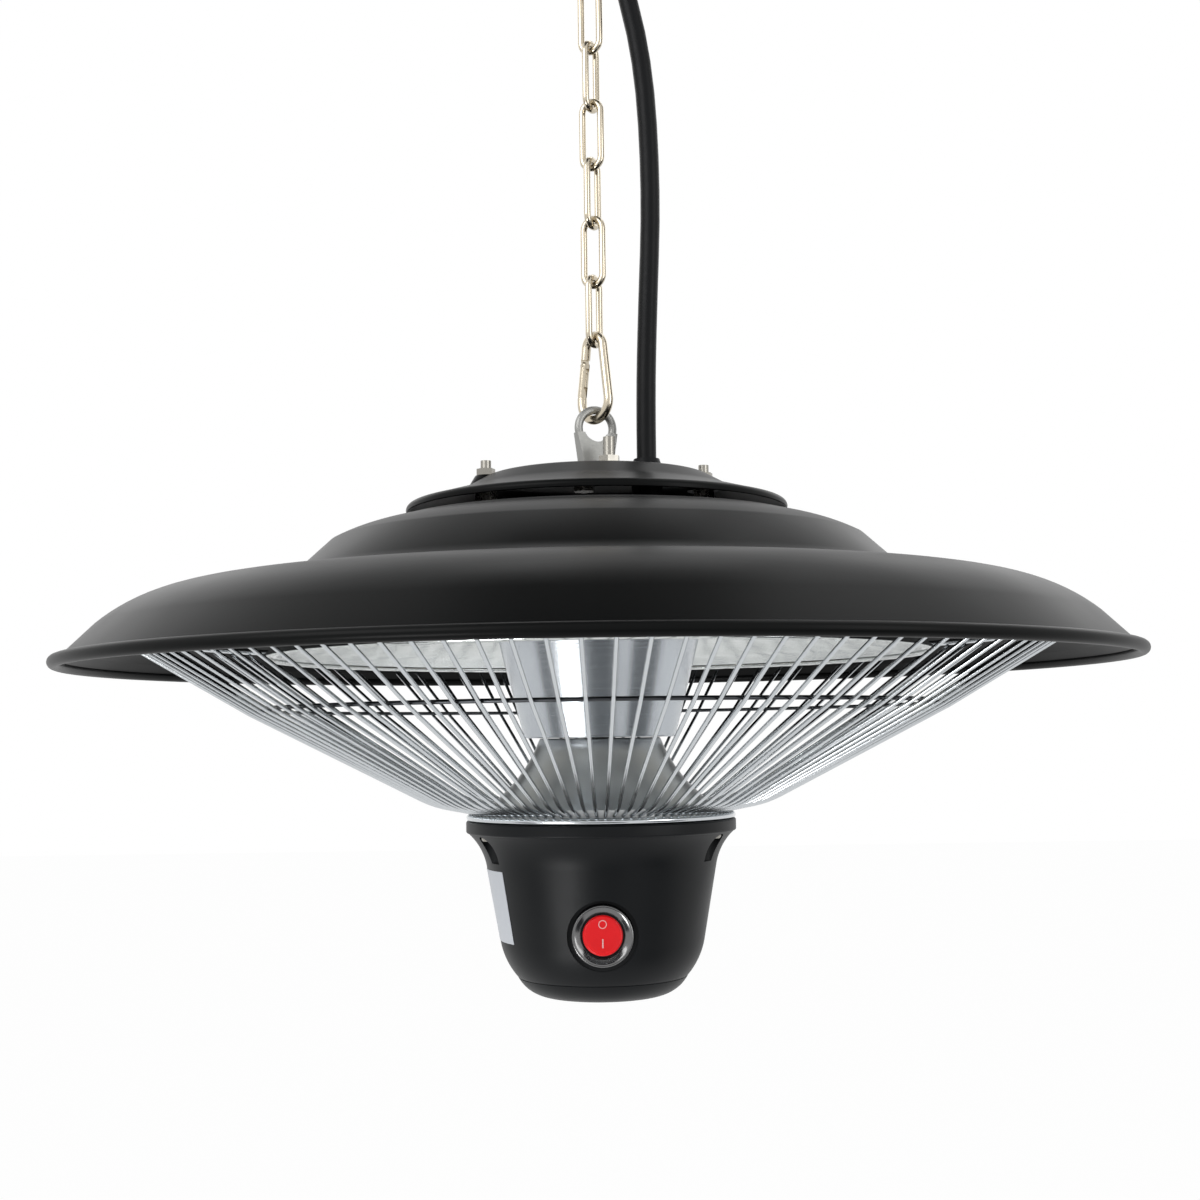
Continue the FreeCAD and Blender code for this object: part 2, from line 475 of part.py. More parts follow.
# Shade: spun steel in two tiers with a beaded rim and a vented deck under the cap.
shade_shell = turned("shade_shell", [
    ("rim_radius", "bead_radius"), ("skirt_radius", "skirt_level", "shoulder_curve", 1),
    ("shoulder_radius", "shoulder_level"), ("step_radius", "step_level", "step_curve", -1),
    ("neck_radius", "neck_level"),
    ("crown_radius", "crown_level", "crown_curve", 1), ("top_edge_radius", "top_edge_level", "roll_curve", 1),
    ("roll_radius", "deck_level"), ("tube_diameter / 2 + tube_fit", "deck_level"),
    ("tube_diameter / 2 + tube_fit", "reflector_top"), ("roll_radius + shade_wall", "reflector_top"),
    ("top_edge_radius + shade_wall / 4", "top_edge_level - 1.2 * shade_wall"),
    ("crown_radius - shade_wall / 2", "crown_level - 1.1 * shade_wall"),
    ("neck_radius - 0.7 * shade_wall", "neck_level - 0.7 * shade_wall", "step_curve + shade_wall", 1),
    ("step_radius", "step_level - shade_wall"),
    ("shoulder_radius", "shoulder_level - shade_wall", "shoulder_curve - shade_wall", -1),
    ("skirt_radius - 0.7 * shade_wall", "skirt_level - 0.8 * shade_wall"),
    ("rim_radius - 0.7 * shade_wall", "bead_radius - 0.8 * shade_wall")], z="0")
bead = bind(doc.addObject("Part::Torus", "rim_bead"), Radius1="rim_radius", Radius2="bead_radius",
            z="bead_radius")
vents = [rod("vent_%d" % index, "vent_radius", "4 * shade_wall", "reflector_top - shade_wall",
             "vent_circle * cos(%d * 360 / vent_count + 22.5)" % index,
             "vent_circle * sin(%d * 360 / vent_count + 22.5)" % index)
         for index in range(int(size("vent_count")))]
shade_studs = bind(group("shade_stud_holes", *[
    rod("shade_stud_hole_" + name, "stud_diameter / 2 + bolt_fit", "4 * shade_wall",
        "reflector_top - shade_wall", side + "stud_circle")
    for name, side in (("left", "-"), ("right", ""))]),
    turn="cap_angle")
shade = cut("shade", fuse("shade_solid", shade_shell, bead), shade_studs, *vents)
keep(bind(shade, z="-rim_drop"), "shade")

# Reflector: polished dish under the shade, with a flat for the lamp and a well for the column.
reflector_dish = turned("reflector_dish", [
    ("reflector_edge_radius", "reflector_edge_level", "reflector_curve", 1),
    ("reflector_shoulder_radius", "reflector_shoulder_level"),
    ("reflector_flat_radius", "reflector_flat_level"), ("reflector_well_radius", "reflector_flat_level"),
    ("reflector_well_top", "reflector_top"), ("tube_diameter / 2 + tube_fit", "reflector_top"),
    ("tube_diameter / 2 + tube_fit", "column_top_level"),
    ("reflector_well_top - 0.7 * reflector_wall", "column_top_level"),
    ("reflector_well_radius - 0.8 * reflector_wall", "reflector_flat_level - reflector_wall"),
    ("reflector_flat_radius - 0.2 * reflector_wall", "reflector_flat_level - reflector_wall"),
    ("reflector_shoulder_radius - 0.2 * reflector_wall", "reflector_shoulder_level - reflector_wall",
     "reflector_curve - reflector_wall", -1),
    ("reflector_edge_radius - 0.6 * reflector_wall", "reflector_edge_level - 0.8 * reflector_wall")], z="0")
reflector_studs = bind(group("reflector_stud_holes", *[
    rod("reflector_stud_hole_" + name, "stud_diameter / 2 + bolt_fit", "4 * shade_wall",
        "column_top_level - shade_wall", side + "stud_circle")
    for name, side in (("left", "-"), ("right", ""))]), turn="cap_angle")
keep(bind(cut("reflector", reflector_dish, reflector_studs), z="-rim_drop"), "reflector")

# Ring lamp: a quartz tube bent round the column, with a filament, two ceramic ends and two clips.
half_gap = (360 - size("lamp_angle")) / 2


def ring_piece(name, radius):
    """Part of a torus with its gap at the back."""
    ring = doc.addObject("Part::Torus", name)
    ring.Placement.Rotation = FreeCAD.Rotation(Z_AXIS, 90 + half_gap)
    return bind(ring, Radius1="lamp_ring_radius", Radius2=radius, Angle3="lamp_angle", z="lamp_level")


tube = cut("lamp_tube", ring_piece("lamp_outer", "lamp_diameter / 2"),
           ring_piece("lamp_inner", "lamp_diameter / 2 - lamp_glass"))
keep(bind(tube, z="-rim_drop"), "lamp_tube")
keep(bind(ring_piece("lamp_filament", "filament_diameter / 2"), z="lamp_level - rim_drop"), "lamp_filament")
post_top = "reflector_flat_level - reflector_wall"


def on_ring(thing, angle):
    """Turn a piece built at the front of the lamp ring to its own angle."""
    thing.Placement = FreeCAD.Placement(FreeCAD.Vector(), FreeCAD.Rotation(Z_AXIS, angle))
    return thing


ends = []
for name, turn, shift in (("left", 180 + half_gap, "-holder_length"), ("right", 180 - half_gap, "0")):
    body = rod("holder_body_" + name, "holder_diameter / 2", "holder_length", "lamp_level", shift,
               "-lamp_ring_radius", FreeCAD.Vector(0, 1, 0))
    post = rod("holder_post_" + name, "post_diameter / 2", "(%s) - lamp_level" % post_top, "lamp_level",
               "(%s) + holder_length / 2" % shift, "-lamp_ring_radius")
    ends.append(on_ring(fuse("lamp_end_" + name, body, post), turn))
keep(bind(group("lamp_ends", *ends), z="-rim_drop"), "lamp_ends")
clips = []
for name, turn in (("left", -60), ("right", 60)):
    sleeve = rod("clip_sleeve_" + name, "lamp_diameter / 2 + clip_fit + clip_wall", "clip_length",
                 "lamp_level", "-clip_length / 2", "-lamp_ring_radius", FreeCAD.Vector(0, 1, 0))
    bore = rod("clip_bore_" + name, "lamp_diameter / 2 + clip_fit", "3 * clip_length", "lamp_level",
               "-1.5 * clip_length", "-lamp_ring_radius", FreeCAD.Vector(0, 1, 0))
    post = rod("clip_post_" + name, "clip_length / 2 - 0.5", "(%s) - lamp_level" % post_top, "lamp_level",
               "0", "-lamp_ring_radius")
    clips.append(on_ring(cut("lamp_clip_" + name, fuse("clip_solid_" + name, sleeve, post), bore), turn))
keep(bind(group("lamp_clips", *clips), z="-rim_drop"), "lamp_clips")

# Centre column, tie tube with its two nuts, and the flare that stands on the cup.
keep(turned("centre_column", [
    ("column_top_radius", "column_top_level"), ("column_base_radius", "column_base_level"),
    ("column_base_radius - column_wall", "column_base_level"),
    ("column_top_radius - column_wall", "column_top_level")]), "centre_column")
keep(turned("tie_tube", [
    ("tube_diameter / 2", "tube_low"), ("tube_diameter / 2", "tube_top"), ("tube_bore / 2", "tube_top"),
    ("tube_bore / 2", "tube_low")]), "tie_tube")
tube_nuts = []
for name, foot in (("upper", "deck_level"), ("lower", "flange_level - deck_thickness - tube_nut_height")):
    nut = hex_prism("tube_nut_hex_" + name, "tube_nut_flats", "tube_nut_height", "0", "0", foot)
    tube_nut_bore = rod("tube_nut_bore_" + name, "tube_diameter / 2", "3 * tube_nut_height",
                        "(%s) - tube_nut_height" % foot)
    tube_nuts.append(cut("tube_nut_" + name, nut, tube_nut_bore))
keep(bind(group("tie_nuts", *tube_nuts), z="-rim_drop"), "tie_nuts")
flare_shell = turned("flare_shell", [
    ("flare_top_radius", "column_base_level", "flare_curve", 1), ("flare_foot_radius", "flare_foot_level"),
    ("flare_foot_radius", "foot_level"), ("foot_radius", "foot_level"), ("foot_radius", "flange_level"),
    ("foot_inner_radius", "flange_level"), ("foot_inner_radius", "foot_level"),
    ("flare_foot_radius - 1.4 * flare_wall", "foot_level"),
    ("flare_foot_radius - 1.4 * flare_wall", "flare_foot_level", "flare_curve + flare_wall", -1),
    ("flare_top_radius - flare_wall", "column_base_level")], z="0")


def screw_tools(prefix, radius, foot, height):
    """One rod at each cup screw, left and right."""
    return [rod(prefix + name, radius, height, foot, side + "screw_circle")
            for name, side in (("_left", "-"), ("_right", ""))]


flare = cut("lower_flare", flare_shell,
            *screw_tools("flare_hole", "screw_diameter / 2 + bolt_fit", "flange_level - foot_thickness",
                         "4 * foot_thickness"))
keep(bind(flare, z="-rim_drop"), "lower_flare")

# Guard: radial wires welded over three rings, clipped under the reflector and standing on the cup.
wire_path = [(size(name + "_radius"), size(name + "_level"))
             for name in ("wire_foot", "wire_knee", "wire_belly", "wire_top")]
hex_sides = 6


def wire_section(radius, level, slope):
    """Hexagon across the wire, in the radial plane's own frame."""
    corners = []
    for side in range(hex_sides + 1):
        angle = 2 * math.pi * side / hex_sides
        lift = size("wire_diameter") / 2 * math.cos(angle)
        corners.append(FreeCAD.Vector(radius - lift * math.sin(slope),
                                      size("wire_diameter") / 2 * math.sin(angle),
                                      level + lift * math.cos(slope)))
    return Part.makePolygon(corners)


run_slopes = [math.atan2(after[1] - before[1], after[0] - before[0])
              for before, after in zip(wire_path, wire_path[1:])]
corner_slopes = ([run_slopes[0]] + [(before + after) / 2 for before, after in zip(run_slopes, run_slopes[1:])]
                 + [run_slopes[-1]])
one_wire = Part.makeLoft([wire_section(radius, level, slope)
                          for (radius, level), slope in zip(wire_path, corner_slopes)], True, True)
wires = []
wire_count = int(size("wire_count"))
for index in range(wire_count):
    turned_wire = one_wire.copy()
    turned_wire.rotate(FreeCAD.Vector(), Z_AXIS, 360 * (index + 0.5) / wire_count - 90)
    wires.append(turned_wire)
guard_wires = doc.addObject("Part::Feature", "guard_wires")
guard_wires.Shape = Part.makeCompound(wires)
keep(bind(guard_wires, z="-rim_drop"), "guard_wires")
for label, radius, thickness, level in (
        ("guard_top_ring", "top_ring_radius", "ring_wire / 2", "top_ring_level"),
        ("guard_middle_ring", "middle_ring_radius", "middle_ring_wire / 2", "middle_ring_level"),
        ("guard_lower_ring", "lower_ring_radius", "ring_wire / 2", "lower_ring_level")):
    ring = doc.addObject("Part::Torus", label)
    keep(bind(ring, Radius1=radius, Radius2=thickness, z="(%s) - rim_drop" % level), label)
clip_band = turned("clip_band", [
    ("top_ring_radius - clip_depth / 2", "top_ring_level"),
    ("top_ring_radius + clip_depth / 2", "top_ring_level"),
    ("top_ring_radius + clip_depth / 2", "clip_outer_level"),
    ("top_ring_radius - clip_depth / 2", "clip_inner_level")], z="0")
clip_blocks = []
for index in range(int(size("clip_count"))):
    slab = block("clip_slab_%d" % index, "4 * clip_depth", "clip_width", "4 * clip_depth", "top_ring_radius",
                 "0", "top_ring_level - clip_depth")
    holder = group("clip_holder_%d" % index, slab)
    clip_blocks.append(on_ring(holder, 45 + 360 * index / size("clip_count")))
clip_bars = doc.addObject("Part::Common", "clip_bars")
clip_bars.Base = clip_band
clip_bars.Tool = group("clip_slabs", *clip_blocks)
clip_groove = bind(doc.addObject("Part::Torus", "clip_groove"), Radius1="top_ring_radius",
                   Radius2="ring_wire / 2 + weld_gap", z="top_ring_level")
keep(bind(cut("guard_clips", clip_bars, clip_groove), z="-rim_drop"), "guard_clips")

# Switch cup: moulded shell with a flat deck, a round switch recess in front and two screw pockets.
FORWARD = FreeCAD.Vector(1, 0, 0)
cup_outer = turned("cup_outer", [
    ("flange_radius", "flange_level"), ("flange_radius", "flange_level - flange_thickness", "neck_curve", 1),
    ("cup_neck_radius", "cup_neck_level"), ("cup_waist_radius", "cup_waist_level", "cup_curve", -1),
    ("seam_radius", "seam_level"), ("0", "seam_level"), ("0", "flange_level")], z="0")
cup_cavity = turned("cup_cavity", [
    ("cavity_radius", "flange_level - deck_thickness"), ("cavity_radius", "cavity_neck_level"),
    ("cup_waist_radius - cup_wall", "cup_waist_level", "cup_curve - cup_wall", -1),
    ("seam_radius - cup_wall", "seam_level"), ("seam_radius - cup_wall", "seam_level - cup_wall"),
    ("0", "seam_level - cup_wall"), ("0", "flange_level - deck_thickness")], z="0")


def front_rod(name, radius, start, length):
    """Rod towards the front at the switch, from a distance start off the axis."""
    return rod(name, radius, length, "switch_level", "0", "-(%s)" % start, FORWARD)


switch_boss = front_rod("switch_boss", "recess_radius + boss_rim", "switch_seat - seat_wall", "flange_radius")
cup_shell = cut("cup_shell", cup_outer, cut("cup_hollow", cup_cavity, switch_boss))
cup = cut("switch_cup", cup_shell,
          front_rod("switch_recess", "recess_radius", "switch_seat", "flange_radius"),
          front_rod("switch_hole", "switch_barrel_radius + barrel_fit", "switch_seat / 2", "flange_radius"),
          rod("cup_tube_hole", "tube_diameter / 2 + tube_fit", "3 * deck_thickness",
              "flange_level - 2 * deck_thickness"),
          *screw_tools("screw_pocket", "pocket_radius", "flange_level - pocket_roof - pocket_depth",
                       "pocket_depth"),
          *screw_tools("cup_hole", "screw_diameter / 2 + bolt_fit", "flange_level - flange_thickness",
                       "2 * flange_thickness"))
keep(bind(cup, z="-rim_drop"), "switch_cup")
keep(turned("cup_bottom", [
    ("seam_radius", "seam_level", "corner_curve", -1),
    ("bottom_corner_radius", "bottom_corner_level", "bottom_curve", -1), ("0", "bottom_level"),
    ("0", "bottom_level + cup_wall"), ("bottom_corner_radius", "bottom_corner_level + cup_wall"),
    ("seam_radius - 2 * cup_wall", "seam_level"), ("seam_radius - 2 * cup_wall", "seam_level + lip_height"),
    ("seam_radius - cup_wall - lip_fit", "seam_level + lip_height"),
    ("seam_radius - cup_wall - lip_fit", "seam_level")]), "cup_bottom")
screws = []
heads = screw_tools("screw_head", "screw_head_radius", "flange_level - pocket_roof - screw_head_height",
                    "screw_head_height")
shanks = screw_tools("screw_shank", "screw_diameter / 2", "flange_level - pocket_roof",
                     "pocket_roof + 1.6 * foot_thickness")
for index, (head, shank) in enumerate(zip(heads, shanks)):
    screws.append(fuse("cup_screw_%d" % index, head, shank))
keep(bind(group("cup_screws", *screws), z="-rim_drop"), "cup_screws")

# Rocker switch: bezel in the recess, barrel through the wall, tilting rocker, two blade terminals.
bezel = cut("switch_bezel", front_rod("bezel_disc", "bezel_radius", "switch_seat", "bezel_thickness"),
            front_rod("bezel_bore", "rocker_radius + rocker_fit", "switch_seat / 2", "switch_seat"))
keep(bind(bezel, z="-rim_drop"), "switch_bezel")
barrel = cut("switch_barrel", front_rod("barrel_solid", "switch_barrel_radius", "switch_seat - barrel_depth",
                                        "barrel_depth"),
             front_rod("barrel_well", "rocker_radius + rocker_fit", "switch_seat - rocker_depth",
                       "switch_seat"))
keep(bind(barrel, z="-rim_drop"), "switch_barrel")
rocker_disc = rod("rocker_disc", "rocker_radius", "rocker_depth", "0", "0", "rocker_depth / 2", FORWARD)
dish = bind(doc.addObject("Part::Cylinder", "rocker_dish"), Radius="rocker_crown", Height="4 * rocker_radius",
            x="-2 * rocker_radius", y="-rocker_depth / 2 - rocker_crown + 0.9")
dish.Placement.Rotation = FreeCAD.Rotation(FreeCAD.Vector(0, 1, 0), 90)
rocker = cut("switch_rocker", rocker_disc, dish)
rocker.Placement.Rotation = FreeCAD.Rotation(FORWARD, size("rocker_angle"))
keep(bind(rocker, y="-switch_seat - 0.1", z="switch_level - rim_drop"), "switch_rocker")
terminals = [block("terminal_" + name, "terminal_width", "terminal_length", "terminal_thickness", "0",
                   "-(switch_seat - barrel_depth) + terminal_length / 2",
                   "switch_level %s terminal_spacing - terminal_thickness / 2" % side)
             for name, side in (("upper", "+"), ("lower", "-"))]
keep(bind(group("switch_terminals", *terminals), z="-rim_drop"), "switch_terminals")

# Cord bush in the cap, the terminal block under it and the cord's inner tail between them.
keep(bind(turned("cord_bush", [
    ("0", "bush_bottom"), ("bush_neck_radius", "bush_bottom"), ("bush_neck_radius", "cap_level"),
    ("bush_flange_radius", "cap_level"), ("bush_flange_radius", "cap_level + bush_flange / 2"),
    ("bush_neck_radius + 0.5", "cap_level + bush_flange"), ("bush_top_radius", "bush_top"),
    ("0", "bush_top")]),
    x="bush_x", y="bush_y"), "cord_bush")
terminal_bores = [rod("block_bore_%d" % index, "block_height / 6", "2 * block_width",
                      "deck_level + block_height / 2", "bush_x + (%d) * block_length / 3.2" % step,
                      "bush_y + block_width", FORWARD)
                  for index, step in enumerate((-1, 0, 1))]
block_body = block("block_body", "block_length", "block_width", "block_height", "bush_x", "bush_y",
                   "deck_level")
terminal_block = cut("terminal_block", block_body, *terminal_bores)
keep(bind(terminal_block, z="-rim_drop"), "terminal_block")
tail = rod("supply_tail", "cord_diameter / 2", "bush_bottom - deck_level - block_height",
           "deck_level + block_height - rim_drop", "bush_x", "bush_y")
keep(tail, "supply_tail")

# Free supply cord: chosen points (x, y, level from the rim) from the bush up beside the chain.
cord_radius = size("cord_diameter") / 2
rim = -size("rim_drop")
coil_left = size("coil_x") - size("coil_outer_radius")
coil_front = -size("coil_layer") / 2
coil_start = size("coil_level") - size("cord_diameter")
cord_route = [FreeCAD.Vector(size("bush_x"), size("bush_y"), rim + size("bush_top")),
              FreeCAD.Vector(size("bush_x"), size("bush_y"), rim + 113),
              FreeCAD.Vector(22.6, -4.6, rim + 150),
              FreeCAD.Vector(25.2, -4.2, rim + 203),
              FreeCAD.Vector(22.6, -4.4, rim + 262),
              FreeCAD.Vector(coil_left, coil_front, rim + 306),
              FreeCAD.Vector(coil_left, coil_front, coil_start)]


def rounded_path(route):
    """Straight runs joined by tangent arcs, each as large as its two runs allow."""
    edges = []
    radii = []
    begin = route[0]
    for before, corner, after in zip(route, route[1:], route[2:]):
        back = (before - corner)
        ahead = (after - corner)
        reach = 0.45 * min(back.Length, ahead.Length)
        turn = math.pi - back.getAngle(ahead)
        radii.append(reach / math.tan(turn / 2))
        enter = corner + back.normalize() * reach
        leave = corner + ahead.normalize() * reach
        inward = (back + ahead).normalize()
        middle = corner + inward * (radii[-1] / math.cos(turn / 2) - radii[-1])
        edges += [Part.LineSegment(begin, enter).toShape(), Part.Arc(enter, middle, leave).toShape()]
        begin = leave
    edges.append(Part.LineSegment(begin, route[-1]).toShape())
    return Part.Wire(edges), radii


def wound_tube(path, start, direction, radius):
    """Round tube along a wire."""
    section = Part.Wire(Part.Circle(start, direction, radius).toShape())
    shell = Part.BRepOffsetAPI.MakePipeShell(path)
    shell.add(section)
    shell.build()
    shell.makeSolid()
    return shell.shape()


def tube_piece(label, path, start, direction):
    piece = doc.addObject("Part::Feature", label)
    piece.Shape = wound_tube(path, start, direction, cord_radius)
    expected = math.pi * cord_radius ** 2 * path.Length
    print("%s length %.1f, volume against section times length %.4f"
          % (label, path.Length, piece.Shape.Volume / expected))
    keep(piece, label)


cord_path, cord_radii = rounded_path(cord_route)
print("cord arc radii", ["%.0f" % radius for radius in cord_radii])
tube_piece("power_cord", cord_path, cord_route[0], cord_route[1] - cord_route[0])

# Put-away coil: half turns that spiral in, cross to the second layer at the bottom and spiral out.
half_turns = int(size("coil_half_turns"))
coil_centre = FreeCAD.Vector(size("coil_x"), 0, size("coil_level"))
radii_in = [size("coil_inner_radius") + (half_turns - step) * size("coil_pitch") / 2
            for step in range(half_turns + 1)]
radii_out = radii_in[::-1]
radii_out[-1] += size("coil_last_step")
stops = []
for depth, radii in ((coil_front, radii_in), (-coil_front, radii_out)):
    for step, radius in enumerate(radii):
        side = -1 if step % 2 == 0 else 1
        stops.append(coil_centre + FreeCAD.Vector(side * radius, depth, 0))
coil_edges = [Part.LineSegment(stops[0] - Z_AXIS * size("cord_diameter"), stops[0]).toShape()]
coil_points = []
for step, (begin, end) in enumerate(zip(stops, stops[1:])):
    over = 1 if step % 2 == 0 else -1
    crest = (begin + end) * 0.5 + Z_AXIS * (over * (end - begin).Length / 2)
    arc = Part.Arc(begin, crest, end).toShape()
    coil_edges.append(arc)
    coil_points += arc.discretize(Number=48)[:-1]
bend = size("plug_bend")
bend_start = stops[-1] - Z_AXIS * size("coil_tail")
bend_middle = bend_start + FreeCAD.Vector(0, bend * (1 - math.sqrt(0.5)), -bend * math.sqrt(0.5))
bend_end = bend_start + FreeCAD.Vector(0, bend, -bend)
coil_edges.append(Part.LineSegment(stops[-1], bend_start).toShape())
coil_edges.append(Part.Arc(bend_start, bend_middle, bend_end).toShape())
near_steps = 40
least_gap = min((coil_points[first] - coil_points[second]).Length
                for first in range(len(coil_points))
                for second in range(first + near_steps, len(coil_points))) - size("cord_diameter")
print("coil least gap to itself %.2f" % least_gap)
tube_piece("cord_coil", Part.Wire(coil_edges), stops[0] - Z_AXIS * size("cord_diameter"), Z_AXIS)

# Strap that ties the coil's near side to the chain.


def rounded_block(name, grow, height, z):
    """Block round the chain and the coil's side, with its upright edges rounded."""
    slack = "tie_slack + (%s)" % grow
    span = "link_width + coil_clearance + cord_diameter + coil_half_turns * coil_pitch / 2 + 2 * (%s)" % slack
    box = block(name + "_box", span, "coil_layer + cord_diameter + 2 * (%s)" % slack, height,
                "(%s) / 2 - link_width / 2 - (%s)" % (span, slack), "0", z)
    doc.recompute()
    rounded = doc.addObject("Part::Fillet", name)
    rounded.Base = box
    radius = size("cord_diameter") / 2 + measure(grow)
    rounded.Edges = [(edge, radius, radius) for edge in (1, 3, 5, 7)]
    return rounded


tie = cut("coil_tie", rounded_block("tie_outer", "tie_thickness", "tie_width", "coil_level - tie_width / 2"),
          rounded_block("tie_inner", "0", "3 * tie_width", "coil_level - 1.5 * tie_width"))
keep(tie, "coil_tie")

# Moulded plug with two round pins, on the cord's end and facing the back.
plug_x = "coil_x + coil_outer_radius + coil_last_step"
plug_y = "coil_layer / 2 + plug_bend"
plug_z = "coil_level - coil_tail - plug_bend"
plug = turned("plug_body", [
    ("0", "0"), ("plug_neck_radius", "0"), ("plug_grip_radius", "-(plug_length - plug_rim) * 0.7"),
    ("plug_radius", "-(plug_length - plug_rim)"), ("plug_radius", "-plug_length"), ("0", "-plug_length")],
    z=plug_z)
plug.Placement.Rotation = FreeCAD.Rotation(FORWARD, 90)
keep(bind(plug, x=plug_x, y=plug_y), "plug_body")
pins = [rod("pin_" + name, "pin_diameter / 2", "pin_length", plug_z, "%s %s pin_spacing / 2" % (plug_x, side),
            plug_y + " + plug_length", FORWARD, -90)
        for name, side in (("left", "-"), ("right", "+"))]
keep(group("plug_pins", *pins), "plug_pins")

doc.recompute()
faults = ["%s: %s" % (thing.Label, thing.State) for thing in doc.Objects
          if "Invalid" in thing.State or "Error" in thing.State]
faults += [piece.Label for piece in sub_parts if piece.Shape.isNull() or not piece.Shape.isValid()]
if faults:
    raise RuntimeError("failed pieces: " + "; ".join(faults))
os.makedirs("parts", exist_ok=True)
for piece in sub_parts:
    piece.Shape.exportStep("parts/%s.step" % piece.Label)
print(len(sub_parts), "sub-parts written")
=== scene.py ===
import math

import bmesh
import bpy
from mathutils import Matrix, Vector


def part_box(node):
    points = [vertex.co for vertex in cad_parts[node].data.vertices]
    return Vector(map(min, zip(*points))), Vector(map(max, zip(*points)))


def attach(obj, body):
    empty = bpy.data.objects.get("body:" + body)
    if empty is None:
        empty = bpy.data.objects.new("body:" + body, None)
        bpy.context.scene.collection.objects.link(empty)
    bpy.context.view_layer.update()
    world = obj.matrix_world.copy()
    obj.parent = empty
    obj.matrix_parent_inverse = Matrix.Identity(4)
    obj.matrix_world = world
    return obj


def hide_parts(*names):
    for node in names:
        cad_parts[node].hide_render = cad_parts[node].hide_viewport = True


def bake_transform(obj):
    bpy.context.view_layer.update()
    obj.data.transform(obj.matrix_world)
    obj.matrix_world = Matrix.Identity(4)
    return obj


# The heater hangs from its top snap hook, so its frame starts at that hook's seat. Every piece below
# is placed in that frame, in metres; levels of the heater itself are counted up from the shade's rim.
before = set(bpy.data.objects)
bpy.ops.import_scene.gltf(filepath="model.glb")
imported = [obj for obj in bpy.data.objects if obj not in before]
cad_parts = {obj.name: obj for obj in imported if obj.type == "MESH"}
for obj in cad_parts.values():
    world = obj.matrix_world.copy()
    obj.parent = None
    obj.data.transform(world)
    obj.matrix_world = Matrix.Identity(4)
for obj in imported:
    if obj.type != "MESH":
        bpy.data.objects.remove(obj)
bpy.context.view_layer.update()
MM = 0.001
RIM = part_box("shade")[0][2]
scene = bpy.context.scene

# Camera: a short telephoto a little below the shade, tipped up, with the photograph's slight roll.
# The focal length in pixels is that of a 1200 pixel frame.
FOCAL_PIXELS = 1690
FRAME_PIXELS = 1200
CAMERA_PLACE = (-0.4, -707.4, -29.1)
CAMERA_PAN = -0.1
CAMERA_TIP = 4.67
CAMERA_ROLL = -0.8
camera = bpy.data.objects.new("camera", bpy.data.cameras.new("camera"))
camera.data.sensor_width = 36
camera.data.lens = FOCAL_PIXELS / FRAME_PIXELS * camera.data.sensor_width
camera.matrix_world = (Matrix.Translation(Vector(CAMERA_PLACE) * MM + Vector((0, 0, RIM)))
                       @ Matrix.Rotation(math.radians(CAMERA_PAN), 4, "Z")
                       @ Matrix.Rotation(math.radians(90 + CAMERA_TIP), 4, "X")
                       @ Matrix.Rotation(math.radians(CAMERA_ROLL), 4, "Z"))
scene.collection.objects.link(camera)
scene.camera = camera
scene.view_settings.view_transform = "Standard"


def linear(code):
    """Linear colour of an sRGB hex value."""
    parts = [int(code[place:place + 2], 16) / 255 for place in (1, 3, 5)]
    return [part / 12.92 if part <= 0.04045 else ((part + 0.055) / 1.055) ** 2.4 for part in parts] + [1.0]


def add(tree, kind, settings=None, **links):
    """Add a node; settings name properties or inputs, links name inputs: _ is a space, i0 the first one."""
    made = tree.nodes.new(kind)
    for name, value in (settings or {}).items():
        if isinstance(name, str) and hasattr(made, name):
            setattr(made, name, value)
        else:
            made.inputs[name].default_value = value
    for name, source in links.items():
        by_place = name[0] == "i" and name[1:].isdigit()
        tree.links.new(source, made.inputs[int(name[1:]) if by_place else name.replace("_", " ")])
    return made


# Stage: a plain pale floor far below, a white surround and six soft boxes round the heater.
# The surround shows white to the eye and in gloss, and lights matt surfaces at a lower level.
# Dark cards out of view, over it and on the floor in front, give black and bright pieces their streaks.
WORLD_LIGHT = 0.5
world = bpy.data.worlds.new("white_studio")
scene.world = world
world.use_nodes = True
tree = world.node_tree
tree.nodes.clear()
seen = add(tree, "ShaderNodeLightPath")
gloss = add(tree, "ShaderNodeMath", {"operation": "MAXIMUM"}, i0=seen.outputs["Is Camera Ray"],
            i1=seen.outputs["Is Glossy Ray"])
clear = add(tree, "ShaderNodeMath", {"operation": "MAXIMUM"}, i0=gloss.outputs[0],
            i1=seen.outputs["Is Transmission Ray"])
level = add(tree, "ShaderNodeMapRange", {"To Min": WORLD_LIGHT, "To Max": 1.0}, Value=clear.outputs[0])
sky = add(tree, "ShaderNodeBackground", {"Color": (1, 1, 1, 1)}, Strength=level.outputs[0])
add(tree, "ShaderNodeOutputWorld", Surface=sky.outputs[0])


def sheet(name, corners, material):
    """Flat piece of the stage."""
    mesh = bpy.data.meshes.new(name)
    mesh.from_pydata([Vector(corner) + Vector((0, 0, RIM)) for corner in corners], [], [(0, 1, 2, 3)])
    mesh.materials.append(material)
    made = bpy.data.objects.new(name, mesh)
    scene.collection.objects.link(made)
    return made


